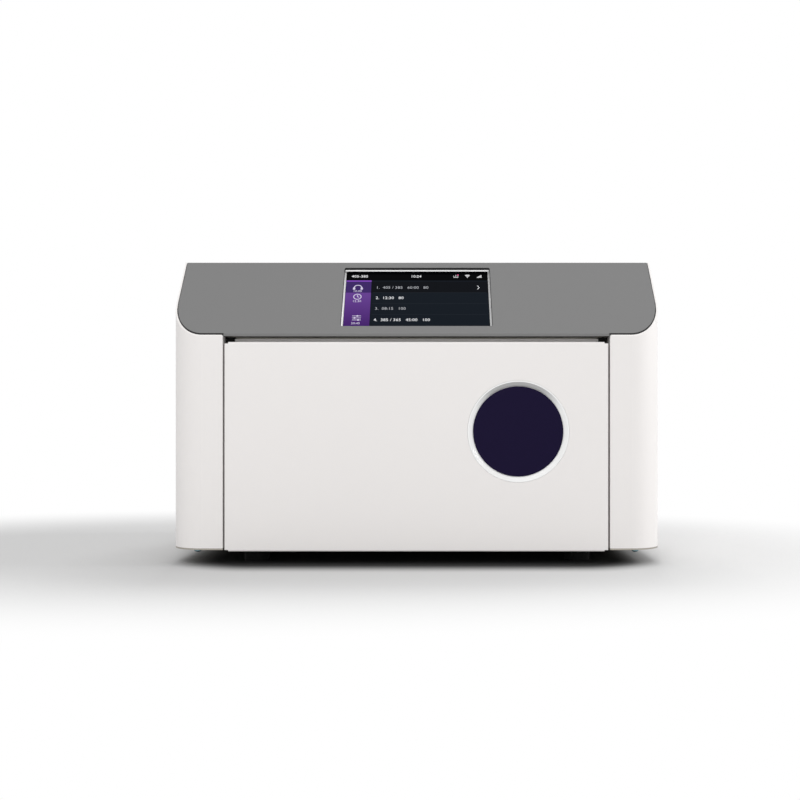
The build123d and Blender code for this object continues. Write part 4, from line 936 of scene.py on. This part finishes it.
class NodeTool:
    """A Geometry Nodes tree that sets one form on every seat and gives it a material."""

    dome_share = 1.35
    arm_length = 1.15
    arm_width = 0.26
    recess_level = 0.98

    def __init__(self, name: str, form: Form) -> None:
        """Build the tree with its named inputs.

        Args:
            name: name of the tree.
            form: what is set on each seat.
        """
        self.tree = bpy.data.node_groups.new(name, "GeometryNodeTree")
        face = self.tree.interface
        face.new_socket("Geometry", in_out="INPUT", socket_type="NodeSocketGeometry")
        self.inputs = {}
        for label in ("Radius", "Height"):
            self.inputs[label] = face.new_socket(label, in_out="INPUT", socket_type="NodeSocketFloat")
        axis = face.new_socket("Axis", in_out="INPUT", socket_type="NodeSocketVector")
        self.inputs["Axis"] = axis
        finish = face.new_socket("Material", in_out="INPUT", socket_type="NodeSocketMaterial")
        self.inputs["Material"] = finish
        face.new_socket("Geometry", in_out="OUTPUT", socket_type="NodeSocketGeometry")
        self.graph = Graph(self.tree)
        given = self.graph.add("NodeGroupInput").outputs
        shape = self.head(given) if form is Form.CROSS_HEAD else self.lens(given)
        turn = self.graph.add("FunctionNodeAlignRotationToVector", {"Vector": given["Axis"]}, axis="Z")
        spin = self.graph.add("FunctionNodeRandomValue", {"Min": 0.0, "Max": math.tau, "Seed": 7})
        spun = self.graph.add("ShaderNodeCombineXYZ", {"Z": self.float_output(spin)})
        local = self.graph.add("FunctionNodeEulerToRotation", {0: spun.outputs[0]})
        whole = self.graph.add(
            "FunctionNodeRotateRotation",
            {"Rotation": turn.outputs[0], "Rotate By": local.outputs[0]},
            rotation_space="LOCAL",
        )
        placed = self.graph.add(
            "GeometryNodeInstanceOnPoints",
            {"Points": given["Geometry"], "Instance": shape, "Rotation": whole.outputs[0]},
        )
        real = self.graph.add("GeometryNodeRealizeInstances", {0: placed.outputs[0]})
        coated = self.graph.add(
            "GeometryNodeSetMaterial", {"Geometry": real.outputs[0], "Material": given["Material"]}
        )
        self.graph.add("NodeGroupOutput", {0: coated.outputs[0]})

    @staticmethod
    def float_output(node: bpy.types.Node) -> bpy.types.NodeSocket:
        """Return a random value node's number output."""
        return next(socket for socket in node.outputs if socket.enabled and socket.type == "VALUE")

    def moved(self, shape: object, offset: object) -> bpy.types.NodeSocket:
        """Return geometry moved by an offset."""
        node = self.graph.add("GeometryNodeTransform", {"Geometry": shape, "Translation": offset})
        return node.outputs[0]

    def upward(self, height: object) -> bpy.types.NodeSocket:
        """Return a vector along Z."""
        return self.graph.add("ShaderNodeCombineXYZ", {"Z": height}).outputs[0]

    def head(self, given: dict) -> bpy.types.NodeSocket:
        """Return a domed pan head with a cross recess, seated at the origin."""
        graph = self.graph
        radius, height = given["Radius"], given["Height"]
        dome_radius = graph.math("MULTIPLY", radius, self.dome_share)
        ball = graph.add("GeometryNodeMeshUVSphere", {"Segments": 40, "Rings": 32, "Radius": dome_radius})
        sunk = graph.math("SUBTRACT", height, dome_radius)
        dome = self.moved(ball.outputs[0], self.upward(sunk))
        blank = graph.add("GeometryNodeMeshCylinder", {"Vertices": 40, "Radius": radius, "Depth": height})
        stock = self.moved(blank.outputs[0], self.upward(graph.math("MULTIPLY", height, 0.5)))
        body = graph.add(
            "GeometryNodeMeshBoolean", {"Mesh 2": dome}, operation="INTERSECT", solver="EXACT"
        )
        graph.tree.links.new(stock, body.inputs["Mesh 2"])
        long = graph.math("MULTIPLY", radius, self.arm_length)
        thin = graph.math("MULTIPLY", radius, self.arm_width)
        deep = self.upward(graph.math("MULTIPLY", height, self.recess_level))
        shape = body.outputs[0]
        for sides in ((long, thin), (thin, long)):
            size = graph.add("ShaderNodeCombineXYZ", {"X": sides[0], "Y": sides[1], "Z": height})
            arm = graph.add("GeometryNodeMeshCube", {"Size": size.outputs[0]})
            cutter = self.moved(arm.outputs[0], deep)
            cut = graph.add(
                "GeometryNodeMeshBoolean", {"Mesh 1": shape, "Mesh 2": cutter},
                operation="DIFFERENCE", solver="EXACT",
            )
            shape = cut.outputs[0]
        return shape

    def lens(self, given: dict) -> bpy.types.NodeSocket:
        """Return a low dome, seated at the origin."""
        graph = self.graph
        ball = graph.add(
            "GeometryNodeMeshUVSphere", {"Segments": 20, "Rings": 14, "Radius": given["Radius"]}
        )
        squash = graph.math("DIVIDE", given["Height"], given["Radius"])
        scale = graph.add("ShaderNodeCombineXYZ", {"X": 1.0, "Y": 1.0, "Z": squash})
        shaped = graph.add(
            "GeometryNodeTransform", {"Geometry": ball.outputs[0], "Scale": scale.outputs[0]}
        )
        return graph.add("GeometryNodeSetShadeSmooth", {"Geometry": shaped.outputs[0]}).outputs[0]

    def run(self, name: str, seats: Sequence[Vector], values: dict[str, object]) -> bpy.types.Mesh:
        """Return the finished mesh over some seats.

        Args:
            name: name of the mesh.
            seats: where each form sits, in metres.
            values: the tree's inputs by name.

        Returns:
            A plain mesh, with no modifier left.
        """
        cloud = bpy.data.meshes.new(f"{name}_seats")
        cloud.from_pydata([tuple(seat) for seat in seats], [], [])
        holder = bpy.data.objects.new(f"{name}_seats", cloud)
        bpy.context.scene.collection.objects.link(holder)
        modifier = holder.modifiers.new("forms", "NODES")
        modifier.node_group = self.tree
        for label, value in values.items():
            modifier[self.inputs[label].identifier] = value
        holder.update_tag()
        depsgraph = bpy.context.evaluated_depsgraph_get()
        mesh = bpy.data.meshes.new_from_object(holder.evaluated_get(depsgraph))
        mesh.name = name
        bpy.data.objects.remove(holder)
        bpy.data.meshes.remove(cloud)
        return mesh


@dataclass(frozen=True)
class ScrewSet:
    """Cross-recess pan heads that stand for one node's plain heads."""

    node: str
    body: str
    slot: str
    axis: Vector

    def build(self, tool: NodeTool, materials: dict[str, bpy.types.Material]) -> None:
        """Set a head on each seat of the node."""
        seats = []
        sizes = []
        for low, high in solids_of(self.node):
            centre = (low + high) / 2
            along = abs((high - low).dot(self.axis))
            seats.append(centre - self.axis * along / 2)
            widest = max((high - low)[axis] for axis in range(3) if abs(self.axis[axis]) < 0.5)
            sizes.append((widest / 2, along))
        values = {
            "Radius": sizes[0][0],
            "Height": sizes[0][1],
            "Axis": self.axis,
            "Material": materials[self.slot],
        }
        mesh = tool.run(f"{self.node}_heads", seats, values)
        piece = add_piece(f"{self.node}_heads", mesh, self.body)
        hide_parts(self.node)


# --- The whole unit -----------------------------------------------------------------------
@dataclass
class CuringUnit:
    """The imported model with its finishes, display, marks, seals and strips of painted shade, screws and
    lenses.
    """

    effects: Effects
    materials: dict[str, bpy.types.Material]
    lens_radius: float = 1.5
    lens_height: float = 1.1

    def finish_nodes(self) -> None:
        """Give every frame node the finish of its slot."""
        for part in frame["record"]["subparts"]:
            node = frame["nodes"][part["node"]]
            node.data.materials.clear()
            node.data.materials.append(self.materials[part["material_slot"]])

    def build(self) -> None:
        """Dress the whole unit."""
        self.finish_nodes()
        layout = Layout()
        Display(layout, self.effects).build()
        WindowTrim(layout, self.effects).build()
        SwitchMarks(self.effects).build()
        CoverSeamShade(layout, self.materials).build()
        CornerShadeFoam(self.materials).build()
        heads = NodeTool("cross_heads", Form.CROSS_HEAD)
        for screws in (
            ScrewSet("panel_screws", "housing", "blue_zinc", Vector((0.0, 1.0, 0.0))),
            ScrewSet("base_screws", "housing", "blue_zinc", Vector((0.0, 0.0, -1.0))),
            ScrewSet("drawer_screws", "drawer", "blue_zinc", Vector((0.0, 1.0, 0.0))),
        ):
            screws.build(heads, self.materials)
        self.add_lenses()

    def add_lenses(self) -> None:
        """Set a low silicone dome under each LED of the lamp board."""
        seats = []
        for low, high in solids_of("led_array"):
            centre = (low + high) / 2
            seats.append(Vector((centre.x, centre.y, low.z)))
        values = {
            "Radius": self.lens_radius * MM,
            "Height": self.lens_height * MM,
            "Axis": Vector((0.0, 0.0, -1.0)),
            "Material": self.materials["silicone"],
        }
        mesh = NodeTool("lenses", Form.LENS).run("led_lenses", seats, values)
        add_piece("led_lenses", mesh, "housing")


# --- Stage, light and camera --------------------------------------------------------------
@dataclass(frozen=True)
class Lamp:
    """A soft rectangular studio lamp aimed at a point."""

    name: str
    place: Vector
    aim: Vector
    size: float
    power: float
    warmth: Colour = (1.0, 1.0, 1.0)

    def build(self) -> None:
        """Hang the lamp."""
        data = bpy.data.lights.new(self.name, "AREA")
        data.shape = "SQUARE"
        data.size = self.size
        data.energy = self.power
        data.color = self.warmth
        lamp = bpy.data.objects.new(self.name, data)
        lamp.location = self.place
        lamp.rotation_euler = (self.aim - self.place).to_track_quat("-Z", "Y").to_euler()
        bpy.context.scene.collection.objects.link(lamp)


@dataclass
class Studio:
    """A pale floor that brightens to white, with a painted shadow under the unit, soft light and a white
    background.
    """

    ambient: float = 0.66
    floor_near: float = 0.18
    floor_far: float = 0.39
    floor_narrowing: Colour = (0.62, 1.0, 1.0)
    floor_middle: Colour = (-0.10, 0.0, 0.0)
    floor_half: float = 14.0
    floor_colour: Colour = (0.62, 0.62, 0.62)
    # painted shadow under the unit: its half size, fade distances and colour
    painted_shadow_box: Vector = Vector((0.122, 0.085, 1.0))
    painted_shadow_fade: tuple[float, float] = (0.029, 0.071)
    painted_shadow_colour: Colour = (0.08, 0.08, 0.08)
    camera_place: Vector = Vector((0.00995, -0.9245, 0.1130))
    camera_lens: float = 48.4
    camera_sensor: float = 36.0
    camera_shift: tuple[float, float] = (-0.0371, 0.01875)
    lamps: tuple[Lamp, ...] = (
        Lamp("key", Vector((1.6, 0.05, 0.95)), Vector((0.0, 0.0, 0.10)), 0.6, 12.5),
        Lamp("back", Vector((0.1, 1.2, 1.9)), Vector((0.0, 0.0, 0.10)), 0.8, 13.0),
        Lamp("front", Vector((-0.2, -1.7, 1.15)), Vector((0.0, 0.0, 0.12)), 1.0, 12.2),
    )

    def world(self) -> None:
        """Make the world white to the camera and to mirrors, and softer as a light."""
        world = bpy.data.worlds.new("studio")
        world.use_nodes = True
        world.node_tree.nodes.clear()
        graph = Graph(world.node_tree)
        path = graph.add("ShaderNodeLightPath").outputs
        seen = graph.math("MAXIMUM", path["Is Camera Ray"], path["Is Glossy Ray"])
        seen = graph.math("MAXIMUM", seen, path["Is Transmission Ray"])
        strength = graph.spread(seen, self.ambient, 1.0)
        sky = graph.add("ShaderNodeBackground", {"Color": (1.0, 1.0, 1.0, 1.0), "Strength": strength})
        graph.add("ShaderNodeOutputWorld", {"Surface": sky.outputs[0]})
        bpy.context.scene.world = world

    def floor(self) -> None:
        """Lay the floor, shaded near the unit with a painted shadow under it, and white further away."""
        bm = bmesh.new()
        bmesh.ops.create_grid(bm, x_segments=8, y_segments=8, size=self.floor_half)
        mesh = bpy.data.meshes.new("floor")
        bm.to_mesh(mesh)
        bm.free()
        material = bpy.data.materials.new("pale_floor")
        material.use_nodes = True
        material.node_tree.nodes.clear()
        graph = Graph(material.node_tree)
        place = graph.add("ShaderNodeTexCoord").outputs["Object"]
        from_middle = graph.add(
            "ShaderNodeVectorMath", {0: place, 1: self.floor_middle}, operation="SUBTRACT"
        ).outputs[0]
        narrowed = graph.add(
            "ShaderNodeVectorMath", {0: from_middle, 1: self.floor_narrowing}, operation="MULTIPLY"
        ).outputs[0]
        far = graph.add("ShaderNodeVectorMath", {0: narrowed}, operation="LENGTH").outputs["Value"]
        fade = graph.add(
            "ShaderNodeMapRange",
            {"Value": far, "From Min": self.floor_near, "From Max": self.floor_far},
            interpolation_type="SMOOTHSTEP",
        ).outputs[0]
        # painted shadow: the floor's colour goes near black under the unit's footprint and fades out a
        # few centimetres past it
        away = graph.add("ShaderNodeVectorMath", {0: place}, operation="ABSOLUTE").outputs[0]
        past = graph.add("ShaderNodeVectorMath", {0: away, 1: self.painted_shadow_box}, operation="SUBTRACT")
        outside = graph.add(
            "ShaderNodeVectorMath", {0: past.outputs[0], 1: (0.0, 0.0, 0.0)}, operation="MAXIMUM"
        )
        edge = graph.add(
            "ShaderNodeVectorMath", {0: outside.outputs[0]}, operation="LENGTH"
        ).outputs["Value"]
        near, far_edge = self.painted_shadow_fade
        outside_painted_shadow = graph.add(
            "ShaderNodeMapRange", {"Value": edge, "From Min": near, "From Max": far_edge},
            interpolation_type="SMOOTHSTEP",
        ).outputs[0]
        tone = graph.mix(outside_painted_shadow, (*self.painted_shadow_colour, 1.0), (*self.floor_colour, 1.0))
        matt = graph.add("ShaderNodeBsdfDiffuse", {"Color": tone})
        white = graph.add("ShaderNodeEmission", {"Color": (1.0, 1.0, 1.0, 1.0)})
        path = graph.add("ShaderNodeLightPath").outputs
        seen = graph.math("MAXIMUM", path["Is Camera Ray"], path["Is Glossy Ray"])
        share = graph.math("MULTIPLY", fade, seen)
        both = graph.add("ShaderNodeMixShader", {0: share, 1: matt.outputs[0], 2: white.outputs[0]})
        graph.add("ShaderNodeOutputMaterial", {"Surface": both.outputs[0]})
        mesh.materials.append(material)
        floor = bpy.data.objects.new("floor", mesh)
        bpy.context.scene.collection.objects.link(floor)

    def camera(self) -> None:
        """Set the camera level in front of the unit, a little below its middle."""
        data = bpy.data.cameras.new("camera")
        data.lens = self.camera_lens
        data.sensor_width = self.camera_sensor
        data.shift_x, data.shift_y = self.camera_shift
        data.clip_start = 0.01
        camera = bpy.data.objects.new("camera", data)
        camera.location = self.camera_place
        camera.rotation_euler = (math.radians(90), 0.0, 0.0)
        bpy.context.scene.collection.objects.link(camera)
        bpy.context.scene.camera = camera

    def build(self) -> None:
        """Set up the whole studio."""
        self.world()
        self.floor()
        for lamp in self.lamps:
            lamp.build()
        self.camera()
        bpy.context.scene.view_settings.view_transform = "Standard"


def main() -> None:
    """Dress the unit and set the stage."""
    logging.basicConfig(level=logging.INFO, format="%(name)s: %(message)s")
    effects = Effects.build()
    materials = {slot: finish.build(effects) for slot, finish in FINISHES.items()}
    CuringUnit(effects, materials).build()
    Studio().build()


if __name__ == "__main__":
    main()
